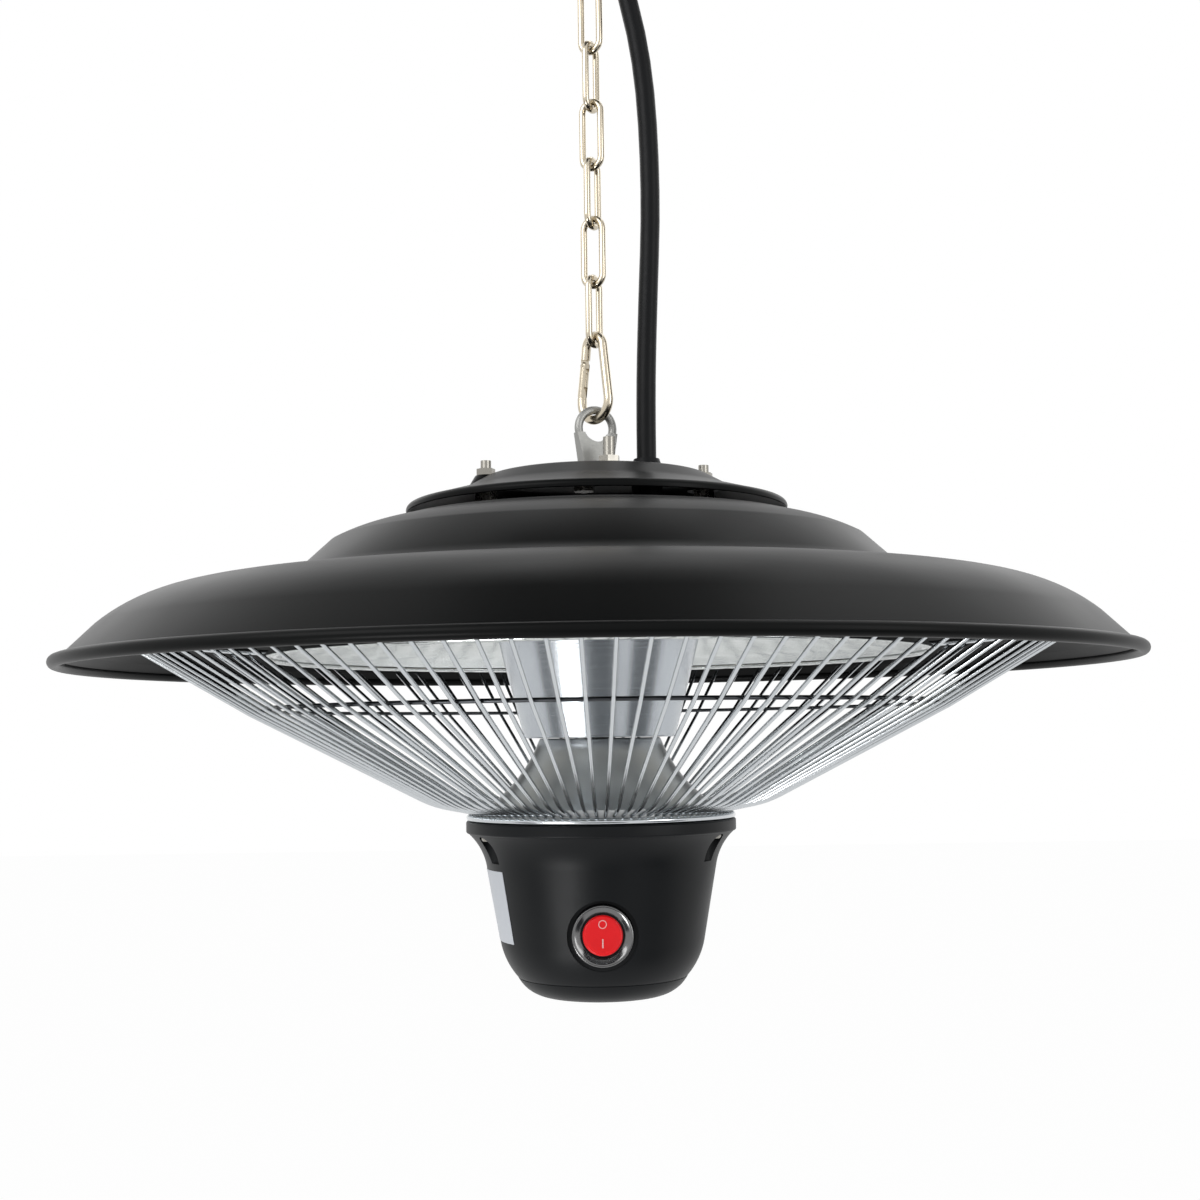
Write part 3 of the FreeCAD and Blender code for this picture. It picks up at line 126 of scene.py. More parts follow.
# White paper: it glows to the eye and in gloss, so that the floor runs out to white.
GLOW = 1.12
GLOW_SHARE = 0.8
paper = bpy.data.materials.new("white_paper")
paper.use_nodes = True
tree = paper.node_tree
tree.nodes.clear()
seen = add(tree, "ShaderNodeLightPath")
gloss = add(tree, "ShaderNodeMath", {"operation": "MAXIMUM"}, i0=seen.outputs["Is Camera Ray"],
            i1=seen.outputs["Is Glossy Ray"])
share = add(tree, "ShaderNodeMath", {"operation": "MULTIPLY", 1: GLOW_SHARE}, i0=gloss.outputs[0])
matt = add(tree, "ShaderNodeBsdfDiffuse", {"Color": linear("#f4f4f4")})
glow = add(tree, "ShaderNodeEmission", {"Color": (1, 1, 1, 1), "Strength": GLOW})
both = add(tree, "ShaderNodeMixShader", Fac=share.outputs[0], i1=matt.outputs[0], i2=glow.outputs[0])
add(tree, "ShaderNodeOutputMaterial", Surface=both.outputs[0])
FLOOR_REACH = 30
FLOOR_DROP = 2.0
sheet("studio_floor", [(across * FLOOR_REACH, back * FLOOR_REACH, -FLOOR_DROP)
                       for across, back in ((-1, -1), (1, -1), (1, 1), (-1, 1))], paper)
# Dark felt: a dull even grey for the cards.
felt = bpy.data.materials.new("dark_felt")
felt.use_nodes = True
felt.node_tree.nodes["Principled BSDF"].inputs["Base Color"].default_value = linear("#4a4d52")
felt.node_tree.nodes["Principled BSDF"].inputs["Roughness"].default_value = 1.0
CARD_SECTORS = {"card_front": (-20, 22), "card_right": (42, 80), "card_left": (-80, -60)}
CARD_REACH = (2.1, 6.9)
CARD_LIFT = 0.01
OVERHEAD_HALF = 0.32
OVERHEAD_FRONT = -0.5
OVERHEAD_BACK = 0.35
OVERHEAD_LEVEL = 1
cards = [sheet("card_overhead", [
    (-OVERHEAD_HALF, OVERHEAD_FRONT, OVERHEAD_LEVEL), (OVERHEAD_HALF, OVERHEAD_FRONT, OVERHEAD_LEVEL),
    (OVERHEAD_HALF, OVERHEAD_BACK, OVERHEAD_LEVEL), (-OVERHEAD_HALF, OVERHEAD_BACK, OVERHEAD_LEVEL)], felt)]
for name, (begin, end) in CARD_SECTORS.items():
    cards.append(sheet(name, [
        (reach * math.sin(math.radians(turn)), -reach * math.cos(math.radians(turn)), CARD_LIFT - FLOOR_DROP)
        for reach, turn in zip(CARD_REACH + CARD_REACH[::-1], (begin, begin, end, end))], felt))
for card in cards:
    card.visible_camera = False
    card.visible_shadow = False
    card.visible_diffuse = False
# Each box has its place from the rim's middle, its spread and its power. The low one makes the column's
# bright streak, and the two behind make the shade's sides paler.
SOFT_BOXES = {
    "key_box": ((-0.9, -0.9, 0.7), (1.0, 0.8), 9),
    "top_box": ((0.25, 0.3, 1.3), (1.4, 0.9), 5),
    "right_box": ((1.1, -0.9, 0.25), (0.5, 1.0), 5),
    "low_box": ((-0.87, -1.07, -0.9), (0.6, 0.4), 10),
    "back_left_box": ((-0.85, 1.1, 0.8), (0.9, 0.8), 1.7),
    "back_right_box": ((0.85, 1.1, 0.8), (0.9, 0.8), 1.9),
}
for name, (place, spread, power) in SOFT_BOXES.items():
    light = bpy.data.lights.new(name, "AREA")
    light.shape = "RECTANGLE"
    light.size, light.size_y = spread
    light.energy = power
    lamp = bpy.data.objects.new(name, light)
    lamp.location = Vector(place) + Vector((0, 0, RIM))
    lamp.rotation_euler = (Vector((0, 0, RIM)) - lamp.location).to_track_quat("-Z", "Y").to_euler()
    scene.collection.objects.link(lamp)


# Supply cord: round black rubber flex, 8.2 mm thick, from the bush in the cap up beside the chain.
# What hangs out of sight is wound into one neat coil, strapped to the chain, and its end bends to the back.
CORD_THICK = 8.2 * MM
COIL_INNER = 34 * MM
COIL_STEP = 5.1 * MM
COIL_LAYER = 9.6 * MM
COIL_HALF_TURNS = 5
COIL_LAST_STEP = 7.5 * MM
COIL_TAIL = 9 * MM
COIL_LEVEL = -130 * MM
COIL_LEFT = 11.3 * MM
PLUG_BEND = 30 * MM
POINTS_PER_HALF_TURN = 12
POINTS_IN_BEND = 6
coil_outer = COIL_INNER + COIL_HALF_TURNS * COIL_STEP
coil_middle = Vector((COIL_LEFT + coil_outer, 0, COIL_LEVEL))
route = [Vector((across * MM, back * MM, RIM + up * MM)) for across, back, up in (
    (21.2, -5, 87.3), (21.2, -5, 113), (22.6, -4.6, 150), (25.2, -4.2, 203), (22.6, -4.4, 262),
    (11.3, -4.8, 306))]
route.append(Vector((COIL_LEFT, -COIL_LAYER / 2, COIL_LEVEL - CORD_THICK)))
inward = [COIL_INNER + (COIL_HALF_TURNS - step) * COIL_STEP for step in range(COIL_HALF_TURNS + 1)]
outward = inward[::-1]
outward[-1] += COIL_LAST_STEP
stops = []
for layer, radii in ((-COIL_LAYER / 2, inward), (COIL_LAYER / 2, outward)):
    for step, radius in enumerate(radii):
        stops.append(coil_middle + Vector((-radius if step % 2 == 0 else radius, layer, 0)))
# A smooth spline cuts inside its points, so the points stand that little further out.
stand_out = 1 / math.cos(math.pi / 2 / POINTS_PER_HALF_TURN)
for step, (begin, end) in enumerate(zip(stops, stops[1:])):
    middle = (begin + end) / 2
    arm = begin - middle
    rise = Vector((0, 0, arm.length if step % 2 == 0 else -arm.length))
    for place in range(POINTS_PER_HALF_TURN):
        angle = math.pi * (place + 0.5) / POINTS_PER_HALF_TURN
        route.append(middle + (arm * math.cos(angle) + rise * math.sin(angle)) * stand_out)
bend_middle = stops[-1] + Vector((0, PLUG_BEND, -COIL_TAIL))
for place in range(POINTS_IN_BEND):
    angle = math.pi / 2 * (place + 0.5) / POINTS_IN_BEND
    route.append(bend_middle - Vector((0, math.cos(angle), math.sin(angle))) * (PLUG_BEND * stand_out))
route.append(bend_middle - Vector((0, 0, PLUG_BEND)))


def smooth_line(name, points):
    """Open smooth spline with the points as its controls."""
    line = bpy.data.curves.new(name, "CURVE")
    line.dimensions = "3D"
    line.resolution_u = 4
    line.bevel_resolution = 5
    spline = line.splines.new("NURBS")
    spline.points.add(len(points) - 1)
    for control, point in zip(spline.points, points):
        control.co = (*point, 1)
    spline.order_u = 3
    spline.use_endpoint_u = True
    return line


def plain_mesh(thing, name):
    """The finished mesh of an object with its modifiers or bevel, as an object of its own."""
    if thing.name not in scene.collection.objects:
        scene.collection.objects.link(thing)
    bpy.context.view_layer.update()
    mesh = bpy.data.meshes.new_from_object(thing.evaluated_get(bpy.context.evaluated_depsgraph_get()))
    bpy.data.objects.remove(thing)
    mesh.name = name
    made = bpy.data.objects.new(name, mesh)
    scene.collection.objects.link(made)
    return made


def smooth(thing, angle=35):
    """Shade a piece smooth, with edges sharper than angle kept crisp."""
    thing.data.polygons.foreach_set("use_smooth", [True] * len(thing.data.polygons))
    thing.data.set_sharp_from_angle(angle=math.radians(angle))
    return thing


cord_line = plain_mesh(bpy.data.objects.new("cord_line", smooth_line("cord_line", route)), "cord_line")
bpy.data.objects.remove(cord_line)
cord_curve = smooth_line("supply_cord_curve", route)
cord_curve.bevel_depth = CORD_THICK / 2
cord_curve.use_fill_caps = True
cord = smooth(plain_mesh(bpy.data.objects.new("supply_cord_curve", cord_curve), "supply_cord"), 60)


def surface(name, colour, roughness, metallic=0.0, **inputs):
    """New material with its shader; inputs name further sockets."""
    made = bpy.data.materials.new(name)
    made.use_nodes = True
    shader = made.node_tree.nodes["Principled BSDF"]
    shader.inputs["Base Color"].default_value = linear(colour)
    shader.inputs["Roughness"].default_value = roughness
    shader.inputs["Metallic"].default_value = metallic
    for socket, value in inputs.items():
        shader.inputs[socket.replace("_", " ")].default_value = value
    return made, made.node_tree, shader


# Extruded rubber: dull, with a faint unevenness along the sheath about 3 mm long.
rubber, tree, shader = surface("extruded_rubber", "#0c0d0f", 0.48, Specular_IOR_Level=0.14)
spot = add(tree, "ShaderNodeTexCoord")
uneven = add(tree, "ShaderNodeTexNoise", {"Scale": 1 / (3 * MM), "Detail": 3.0},
             Vector=spot.outputs["Object"])
dull = add(tree, "ShaderNodeMapRange", {"To Min": 0.36, "To Max": 0.5}, Value=uneven.outputs["Fac"])
ripple = add(tree, "ShaderNodeBump", {"Strength": 0.12, "Distance": 0.3 * MM}, Height=uneven.outputs["Fac"])
tree.links.new(dull.outputs[0], shader.inputs["Roughness"])
tree.links.new(ripple.outputs[0], shader.inputs["Normal"])
cord.data.materials.append(rubber)
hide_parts("power_cord", "cord_coil")


def dress(material, *nodes):
    """Give CAD pieces their material."""
    for node in nodes:
        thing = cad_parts[node]
        thing.data.materials.clear()
        thing.data.materials.append(material)


def settle(thing, material, body, slot, *nodes, angle=35):
    """Shade, paint and fix a finished piece in place of its CAD pieces."""
    smooth(thing, angle)
    thing.data.materials.clear()
    thing.data.materials.append(material)
    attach(thing, body)
    if nodes:
        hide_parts(*nodes)
    return thing


# Cord's bush, plug pins and strap: a rubber bush, turned pins, and a hook-and-loop strap whose free end
# laps over its front. The strap is a band round a flat loop, with soft edges.
dress(rubber, "supply_tail", "cord_bush")
# Nickelled brass: fine turning marks, about 0.4 mm apart, break its shine.
brass, tree, shader = surface("nickelled_brass", "#b9ab86", 0.28, 1.0)
spot = add(tree, "ShaderNodeTexCoord")
turning = add(tree, "ShaderNodeTexNoise", {"Scale": 1 / (0.4 * MM), "Detail": 2.0},
              Vector=spot.outputs["Object"])
fine = add(tree, "ShaderNodeMapRange", {"To Min": 0.2, "To Max": 0.38}, Value=turning.outputs["Fac"])
tree.links.new(fine.outputs[0], shader.inputs["Roughness"])
dress(brass, "plug_pins", "switch_terminals")
# Woven strap: dull fibres in cells about 0.9 mm across.
weave, tree, shader = surface("woven_strap", "#17181a", 0.85, Specular_IOR_Level=0.2)
spot = add(tree, "ShaderNodeTexCoord")
threads = add(tree, "ShaderNodeTexVoronoi", {"Scale": 1 / (0.9 * MM)}, Vector=spot.outputs["Object"])
raised = add(tree, "ShaderNodeBump", {"Strength": 0.5, "Distance": 0.25 * MM},
             Height=threads.outputs["Distance"])
tree.links.new(raised.outputs[0], shader.inputs["Normal"])
STRAP_SPAN = (-7.3, 42.2)
STRAP_HALF_DEPTH = 10.2
STRAP_CORNER = 4.9
STRAP_THICK = 1.6
STRAP_WIDTH = 14
CORNER_STEPS = 6
LAP_CORNER = slice(15, 21)
LAP_LIFT = 1.02
LAP_RUN = ((24, 0), (4, -0.9))
corner_left, corner_right = STRAP_SPAN[0] + STRAP_CORNER, STRAP_SPAN[1] - STRAP_CORNER
corner_back = STRAP_HALF_DEPTH - STRAP_CORNER
strap_line = []
for middle, start in (((corner_right, corner_back), 0), ((corner_left, corner_back), 90),
                      ((corner_left, -corner_back), 180), ((corner_right, -corner_back), 270)):
    for step in range(CORNER_STEPS + 1):
        angle = math.radians(start + 90 * step / CORNER_STEPS)
        outward = Vector((math.cos(angle), math.sin(angle)))
        strap_line.append((Vector(middle) + outward * STRAP_CORNER, outward))
half = STRAP_WIDTH / 2
SECTION = [(-0.5, half - 0.5), (-0.2, half), (0.2, half), (0.5, half - 0.5), (0.5, 0.5 - half), (0.2, -half),
           (-0.2, -half), (-0.5, 0.5 - half)]


def band(shape, line, closed):
    """Sweep the strap's section along a line of (place, outward) in millimetres."""
    rows = []
    for place, outward in line:
        rows.append([shape.verts.new(Vector((*(place + outward * (depth * STRAP_THICK)), up)) * MM
                                     + Vector((0, 0, COIL_LEVEL))) for depth, up in SECTION])
    for before, after in zip(rows, rows[1:] + (rows[:1] if closed else [])):
        for side in range(len(SECTION)):
            following = (side + 1) % len(SECTION)
            shape.faces.new([before[side], after[side], after[following], before[following]])
    if not closed:
        shape.faces.new(rows[0])
        shape.faces.new(rows[-1][::-1])


def made_from(name, shape):
    """Object from a finished shape, which is freed."""
    mesh = bpy.data.meshes.new(name)
    shape.to_mesh(mesh)
    shape.free()
    made = bpy.data.objects.new(name, mesh)
    scene.collection.objects.link(made)
    return made


shape = bmesh.new()
band(shape, strap_line, True)
lap = [(place + outward * (STRAP_THICK * LAP_LIFT), outward) for place, outward in strap_line[LAP_CORNER]]
for run in LAP_RUN:
    lap.append((lap[-1][0] + Vector(run), lap[-1][1]))
band(shape, lap, False)
bmesh.ops.recalc_face_normals(shape, faces=shape.faces[:])
settle(made_from("coil_strap", shape), weave, "chain", "strap", "coil_tie", angle=50)

# Snap hooks: one bent wire each, nickel plated, with a sprung gate on a small rivet.
# The plating is warm and bright, with a tumbled wear about 1.2 mm across.
nickel, tree, shader = surface("nickel_plated_steel", "#c6bca9", 0.2, 1.0)
spot = add(tree, "ShaderNodeTexCoord")
tumble = add(tree, "ShaderNodeTexNoise", {"Scale": 1 / (1.2 * MM), "Detail": 4.0},
             Vector=spot.outputs["Object"])
worn = add(tree, "ShaderNodeMapRange", {"To Min": 0.12, "To Max": 0.28}, Value=tumble.outputs["Fac"])
tree.links.new(worn.outputs[0], shader.inputs["Roughness"])
for hook in ("top_snap_hook", "lower_snap_hook"):
    dress(nickel, hook, hook + "_gate", hook + "_rivet")

# Chain: long welded links of 3 mm wire, nickel plated, each a quarter turn from the next.
# One tree makes a run of links; the first two hang on bodies of their own.
LINK_WIRE = 3 * MM
LINK_WIDTH = 12 * MM
LINK_LENGTH = 32 * MM
LINK_PITCH = 25.7 * MM
FIRST_LINK_TOP = -30.2 * MM
ODD_TURN = 60
EVEN_TURN = -30
BEND_STEPS = 12
LINK_RUNS = (("chain_link_upper", "link_one", 1, 1), ("chain_link_second", "link_two", 2, 1),
             ("chain_links", "chain", 3, 11))


def tree_with(name, **sizes):
    """New geometry tree with its own geometry in and out and named number inputs."""
    made = bpy.data.node_groups.new(name, "GeometryNodeTree")
    made.interface.new_socket("Geometry", in_out="INPUT", socket_type="NodeSocketGeometry")
    for title, kind in sizes.items():
        made.interface.new_socket(title.replace("_", " "), in_out="INPUT", socket_type=kind)
    made.interface.new_socket("Geometry", in_out="OUTPUT", socket_type="NodeSocketGeometry")
    return made, made.nodes.new("NodeGroupInput"), made.nodes.new("NodeGroupOutput")


def grown(name, tree, points, closed, **sizes):
    """Plain mesh that the tree grows from a line of points; sizes are set by socket."""
    mesh = bpy.data.meshes.new(name)
    edges = [(place, place + 1) for place in range(len(points) - 1)]
    mesh.from_pydata(points, edges + ([(len(points) - 1, 0)] if closed else []), [])
    thing = bpy.data.objects.new(name + "_line", mesh)
    modifier = thing.modifiers.new(name, "NODES")
    modifier.node_group = tree
    sockets = {item.name: item.identifier for item in tree.interface.items_tree if item.in_out == "INPUT"}
    for title, value in sizes.items():
        modifier[sockets[title.replace("_", " ")]] = value
    return plain_mesh(thing, name)


chain_tree, given, result = tree_with("chain_run", Wire="NodeSocketFloat", Pitch="NodeSocketFloat",
                                      Count="NodeSocketInt", Turn="NodeSocketFloat",
                                      Finish="NodeSocketMaterial")
line = add(chain_tree, "GeometryNodeMeshToCurve", Mesh=given.outputs["Geometry"])
section = add(chain_tree, "GeometryNodeCurvePrimitiveCircle", {"Resolution": 16},
              Radius=given.outputs["Wire"])
wire = add(chain_tree, "GeometryNodeCurveToMesh", Curve=line.outputs[0], Profile_Curve=section.outputs[0])
drop = add(chain_tree, "ShaderNodeCombineXYZ", Z=given.outputs["Pitch"])
places = add(chain_tree, "GeometryNodeMeshLine", Count=given.outputs["Count"], Offset=drop.outputs[0])
number = add(chain_tree, "GeometryNodeInputIndex")
quarter = add(chain_tree, "ShaderNodeMath", {"operation": "MULTIPLY", 1: math.pi / 2}, i0=number.outputs[0])
facing = add(chain_tree, "ShaderNodeMath", {"operation": "SUBTRACT"}, i0=given.outputs["Turn"],
             i1=quarter.outputs[0])
spin = add(chain_tree, "ShaderNodeCombineXYZ", Z=facing.outputs[0])
links = add(chain_tree, "GeometryNodeInstanceOnPoints", Points=places.outputs[0], Instance=wire.outputs[0],
            Rotation=spin.outputs[0])
solid = add(chain_tree, "GeometryNodeRealizeInstances", Geometry=links.outputs[0])
plated = add(chain_tree, "GeometryNodeSetMaterial", Geometry=solid.outputs[0],
             Material=given.outputs["Finish"])
chain_tree.links.new(plated.outputs[0], result.inputs[0])
bend = (LINK_WIDTH - LINK_WIRE) / 2
loop = []
for lift, start in ((-bend, 0), (LINK_WIRE - LINK_LENGTH + bend, 180)):
    for step in range(BEND_STEPS + 1):
        angle = math.radians(start + 180 * step / BEND_STEPS)
        loop.append((bend * math.cos(angle), 0, lift + bend * math.sin(angle)))
for name, body, first, count in LINK_RUNS:
    top = FIRST_LINK_TOP - (first - 1) * LINK_PITCH
    run = grown(name, chain_tree, loop, True, Wire=LINK_WIRE / 2, Pitch=-LINK_PITCH, Count=count,
                Turn=math.radians(ODD_TURN if first % 2 else EVEN_TURN), Finish=nickel)
    run.data.transform(Matrix.Translation((0, 0, top)))
    nodes = ["chain_link_%02d" % place for place in range(first, first + count)]
    settle(run, nickel, body, "nickel_steel", *nodes, angle=60)

# Hanging eye: grey die casting bolted to the cap through two lobes of its foot, with zinc fasteners.
# The casting is dull and gritty, about 0.7 mm in the grain.
casting, tree, shader = surface("grey_die_casting", "#9a9a97", 0.5, 0.9)
spot = add(tree, "ShaderNodeTexCoord")
grit = add(tree, "ShaderNodeTexNoise", {"Scale": 1 / (0.7 * MM), "Detail": 5.0},
           Vector=spot.outputs["Object"])
rough = add(tree, "ShaderNodeMapRange", {"To Min": 0.36, "To Max": 0.6}, Value=grit.outputs["Fac"])
pitted = add(tree, "ShaderNodeBump", {"Strength": 0.35, "Distance": 0.2 * MM}, Height=grit.outputs["Fac"])
tree.links.new(rough.outputs[0], shader.inputs["Roughness"])
tree.links.new(pitted.outputs[0], shader.inputs["Normal"])
dress(casting, "hanging_eye")
# Zinc plating: cool and patchy, in spangles about 2 mm across.
zinc, tree, shader = surface("zinc_plated_steel", "#94918a", 0.3, 1.0)
spot = add(tree, "ShaderNodeTexCoord")
spangle = add(tree, "ShaderNodeTexNoise", {"Scale": 1 / (2 * MM), "Detail": 2.0},
              Vector=spot.outputs["Object"])
patchy = add(tree, "ShaderNodeMapRange", {"To Min": 0.18, "To Max": 0.38}, Value=spangle.outputs["Fac"])
tree.links.new(patchy.outputs[0], shader.inputs["Roughness"])
dress(zinc, "eye_bolts", "eye_nuts", "cap_studs", "cap_nuts", "cap_spacers", "tie_tube", "tie_nuts",
      "guard_clips", "lamp_clips")


# Top cap and shade: spun sheet steel in satin black enamel, the shade with a rolled bead at its rim.
# The cap sits over the shade's vented deck on two studs with spacer tubes.
def bent(begin, end, radius, side, steps=14):
    """Points of an arc from begin to end, without the end; side 1 curves to the left."""
    begin, end = Vector(begin), Vector(end)
    chord = end - begin
    left = Vector((-chord.y, chord.x)).normalized()
    centre = (begin + end) / 2 + left * (side * math.sqrt(max(radius ** 2 - (chord.length / 2) ** 2, 0)))
    first, last = (math.atan2(*(point - centre).yx) for point in (begin, end))
    sweep = (last - first) % (2 * math.pi) if side > 0 else -((first - last) % (2 * math.pi))
    turns = [first + sweep * step / steps for step in range(steps)]
    return [centre + radius * Vector((math.cos(turn), math.sin(turn))) for turn in turns]


def outline(corners):
    """Corner (radius, level) or (radius, level, arc radius, side) of an outline as plain points."""
    points = []
    for place, corner in enumerate(corners):
        following = corners[(place + 1) % len(corners)][:2]
        points += bent(corner[:2], following, *corner[2:]) if len(corner) > 2 else [Vector(corner)]
    return points


def round_section(reach, level, radius, sides=12):
    """Outline of a round wire or bead."""
    turns = [2 * math.pi * side / sides for side in range(sides)]
    return [(reach + radius * math.cos(turn), level + radius * math.sin(turn)) for turn in turns]


def turned(name, corners, steps=160, lift=RIM):
    """Closed outline in millimetres, turned about the heater's axis."""
    shape = bmesh.new()
    rings = []
    for point in outline(corners):
        if abs(point.x) < 1e-6:
            rings.append([shape.verts.new((0, 0, lift + point.y * MM))] * steps)
            continue
        rings.append([shape.verts.new((point.x * MM * math.cos(2 * math.pi * step / steps),
                                       point.x * MM * math.sin(2 * math.pi * step / steps),
                                       lift + point.y * MM)) for step in range(steps)])
    for lower, upper in zip(rings, rings[1:] + rings[:1]):
        for step in range(steps):
            after = (step + 1) % steps
            distinct = list(dict.fromkeys([lower[step], lower[after], upper[after], upper[step]]))
            if len(distinct) > 2:
                shape.faces.new(distinct)
    bmesh.ops.recalc_face_normals(shape, faces=shape.faces[:])
    return made_from(name, shape)


def joined(name, *things):
    """One object from the meshes of several."""
    shape = bmesh.new()
    for thing in things:
        shape.from_mesh(thing.data)
        bpy.data.objects.remove(thing)
    return made_from(name, shape)


def drilled(name, thing, *rods):
    """Cut round rods, each (place, direction, radius, length) in metres, out of a piece."""
    shape = bmesh.new()
    for place, direction, radius, length in rods:
        turn = Vector(direction).to_track_quat("Z", "Y").to_matrix().to_4x4()
        bmesh.ops.create_cone(shape, cap_ends=True, segments=64, radius1=radius, radius2=radius, depth=length,
                              matrix=Matrix.Translation(place) @ turn)
    tool = made_from("drill", shape)
    cut = thing.modifiers.new("drill", "BOOLEAN")
    cut.operation = "DIFFERENCE"
    cut.solver = "EXACT"
    cut.object = tool
    made = plain_mesh(thing, name)
    bpy.data.objects.remove(tool)
    return made


# Satin enamel: near black, with a faint orange peel about 1.2 mm across and slow drifts in its sheen.
enamel, tree, shader = surface("satin_black_enamel", "#0b0c0c", 0.42, Specular_IOR_Level=0.07)
spot = add(tree, "ShaderNodeTexCoord")
peel = add(tree, "ShaderNodeTexNoise", {"Scale": 1 / (1.2 * MM), "Detail": 2.0},
           Vector=spot.outputs["Object"])
drift = add(tree, "ShaderNodeTexNoise", {"Scale": 1 / (60 * MM), "Detail": 2.0},
            Vector=spot.outputs["Object"])
sheen = add(tree, "ShaderNodeMapRange", {"To Min": 0.3, "To Max": 0.42}, Value=drift.outputs["Fac"])
skin = add(tree, "ShaderNodeBump", {"Strength": 0.05, "Distance": 0.15 * MM}, Height=peel.outputs["Fac"])
tree.links.new(sheen.outputs[0], shader.inputs["Roughness"])
tree.links.new(skin.outputs[0], shader.inputs["Normal"])
CAP_TURN = math.radians(12)
STUD_CIRCLE = 47 * MM
VENT_CIRCLE = 63 * MM
VENT_RADIUS = 8 * MM
VENT_COUNT = 8
VENT_LEVEL = 55.5 * MM
VENT_DEPTH = 4 * MM
BEAD_CIRCLE = 217.5
BEAD_RADIUS = 2.5
cap_shell = turned("cap_shell", [
    (0, 80.5), (43.9, 80.5, 8, -1), (47.8, 79.5), (55.6, 75.2, 20, 1), (60, 73.4), (77.8, 68.5, 2.2, -1),
    (80, 66.2), (79.9, 65.4), (79.5, 65.1), (79.1, 65.4), (78.9, 66.2), (77.4, 67.5), (59.8, 72.3),
    (55.1, 74.2), (47.3, 78.5), (43.9, 79.5), (0, 79.5)])
pads = []
for name, side in (("pad_left", -1), ("pad_right", 1)):
    pad = turned(name, [(0, 75.5), (7.2, 75.5), (6.4, 77.2), (4.6, 80.2), (4.1, 80.5), (0, 80.5)], 48)
    pad.data.transform(Matrix.Translation((side * STUD_CIRCLE * math.cos(CAP_TURN),
                                           side * STUD_CIRCLE * math.sin(CAP_TURN), 0)))
    pads.append(pad)
settle(joined("top_cap_shell", cap_shell, *pads), enamel, "heater", "black_enamel", "top_cap")
shade_shell = turned("shade_plain", [
    (217.5, 2.5), (203, 16.7, 67, 1), (160, 32.9), (140, 33.7, 24, -1), (124.7, 40), (111.5, 52.2, 75, 1),
    (88, 60, 5, 1), (80, 56), (6.8, 56), (6.8, 55), (81, 55), (88.25, 58.8), (111, 51.1), (124, 39.3, 25, 1),
    (140, 32.7), (160, 31.9, 66, -1), (202.3, 15.9), (216.8, 1.7)], 240)
vents = []
for step in range(VENT_COUNT):
    angle = math.radians(360 * (step + 0.5) / VENT_COUNT)
    vents.append(((VENT_CIRCLE * math.cos(angle), VENT_CIRCLE * math.sin(angle), RIM + VENT_LEVEL), (0, 0, 1),
                  VENT_RADIUS, VENT_DEPTH))
shade_shell = drilled("shade_drilled", shade_shell, *vents)
rim_bead = turned("rim_bead", round_section(BEAD_CIRCLE, BEAD_RADIUS, BEAD_RADIUS, 18), 240)
settle(joined("shade_shell", shade_shell, rim_bead), enamel, "heater", "black_enamel", "shade")

# Reflector: a spun aluminium bowl with a rolled lip, polished inside, on a black enamelled skirt that
# ends just inside the shade's bead and carries the guard.
# Fine spinning rings run round the axis, and slow dents about 16 mm across break the reflections up.
bright, tree, shader = surface("polished_aluminium", "#d3d6d5", 0.16, 1.0)
spot = add(tree, "ShaderNodeTexCoord")
apart = add(tree, "ShaderNodeSeparateXYZ", Vector=spot.outputs["Object"])
flat = add(tree, "ShaderNodeCombineXYZ", X=apart.outputs["X"], Y=apart.outputs["Y"])
reach = add(tree, "ShaderNodeVectorMath", {"operation": "LENGTH"}, i0=flat.outputs[0])
rings = add(tree, "ShaderNodeTexNoise", {"noise_dimensions": "1D", "Scale": 1 / (1.1 * MM), "Detail": 3.0},
            W=reach.outputs["Value"])
dents = add(tree, "ShaderNodeTexNoise", {"Scale": 1 / (16 * MM), "Detail": 1.5},
            Vector=spot.outputs["Object"])
dented = add(tree, "ShaderNodeBump", {"Strength": 0.35, "Distance": 1.2 * MM}, Height=dents.outputs["Fac"])
spun = add(tree, "ShaderNodeBump", {"Strength": 0.12, "Distance": 0.2 * MM}, Height=rings.outputs["Fac"],
           Normal=dented.outputs[0])
glint = add(tree, "ShaderNodeMapRange", {"To Min": 0.1, "To Max": 0.24}, Value=rings.outputs["Fac"])
tree.links.new(spun.outputs[0], shader.inputs["Normal"])
tree.links.new(glint.outputs[0], shader.inputs["Roughness"])
bowl = turned("reflector_bowl", [
    (137.4, 5.2, 52, 1), (106, 31), (78, 33), (67, 55), (6.8, 55), (6.8, 54.4), (66.58, 54.4), (77.52, 32.4),
    (105.6, 30.4, 51.2, -1), (136.6, 5.2)], 200)
LIP_CIRCLE = 137
LIP_LEVEL = 5.2
LIP_RADIUS = 1.2
bowl_lip = turned("bowl_lip", round_section(LIP_CIRCLE, LIP_LEVEL, LIP_RADIUS), 200)
settle(joined("reflector_dish", bowl, bowl_lip), bright, "heater", "polished_aluminium", "reflector")
skirt = turned("reflector_skirt", [
    (208, 6.6), (206, 9.5, 80, 1), (165, 27.5), (113, 33), (104.5, 33), (104.5, 32.4), (112.88, 32.4),
    (164.88, 26.9, 79.4, -1), (205.5, 9.1), (207.5, 6.3)], 200)
settle(skirt, enamel, "heater", "black_enamel")

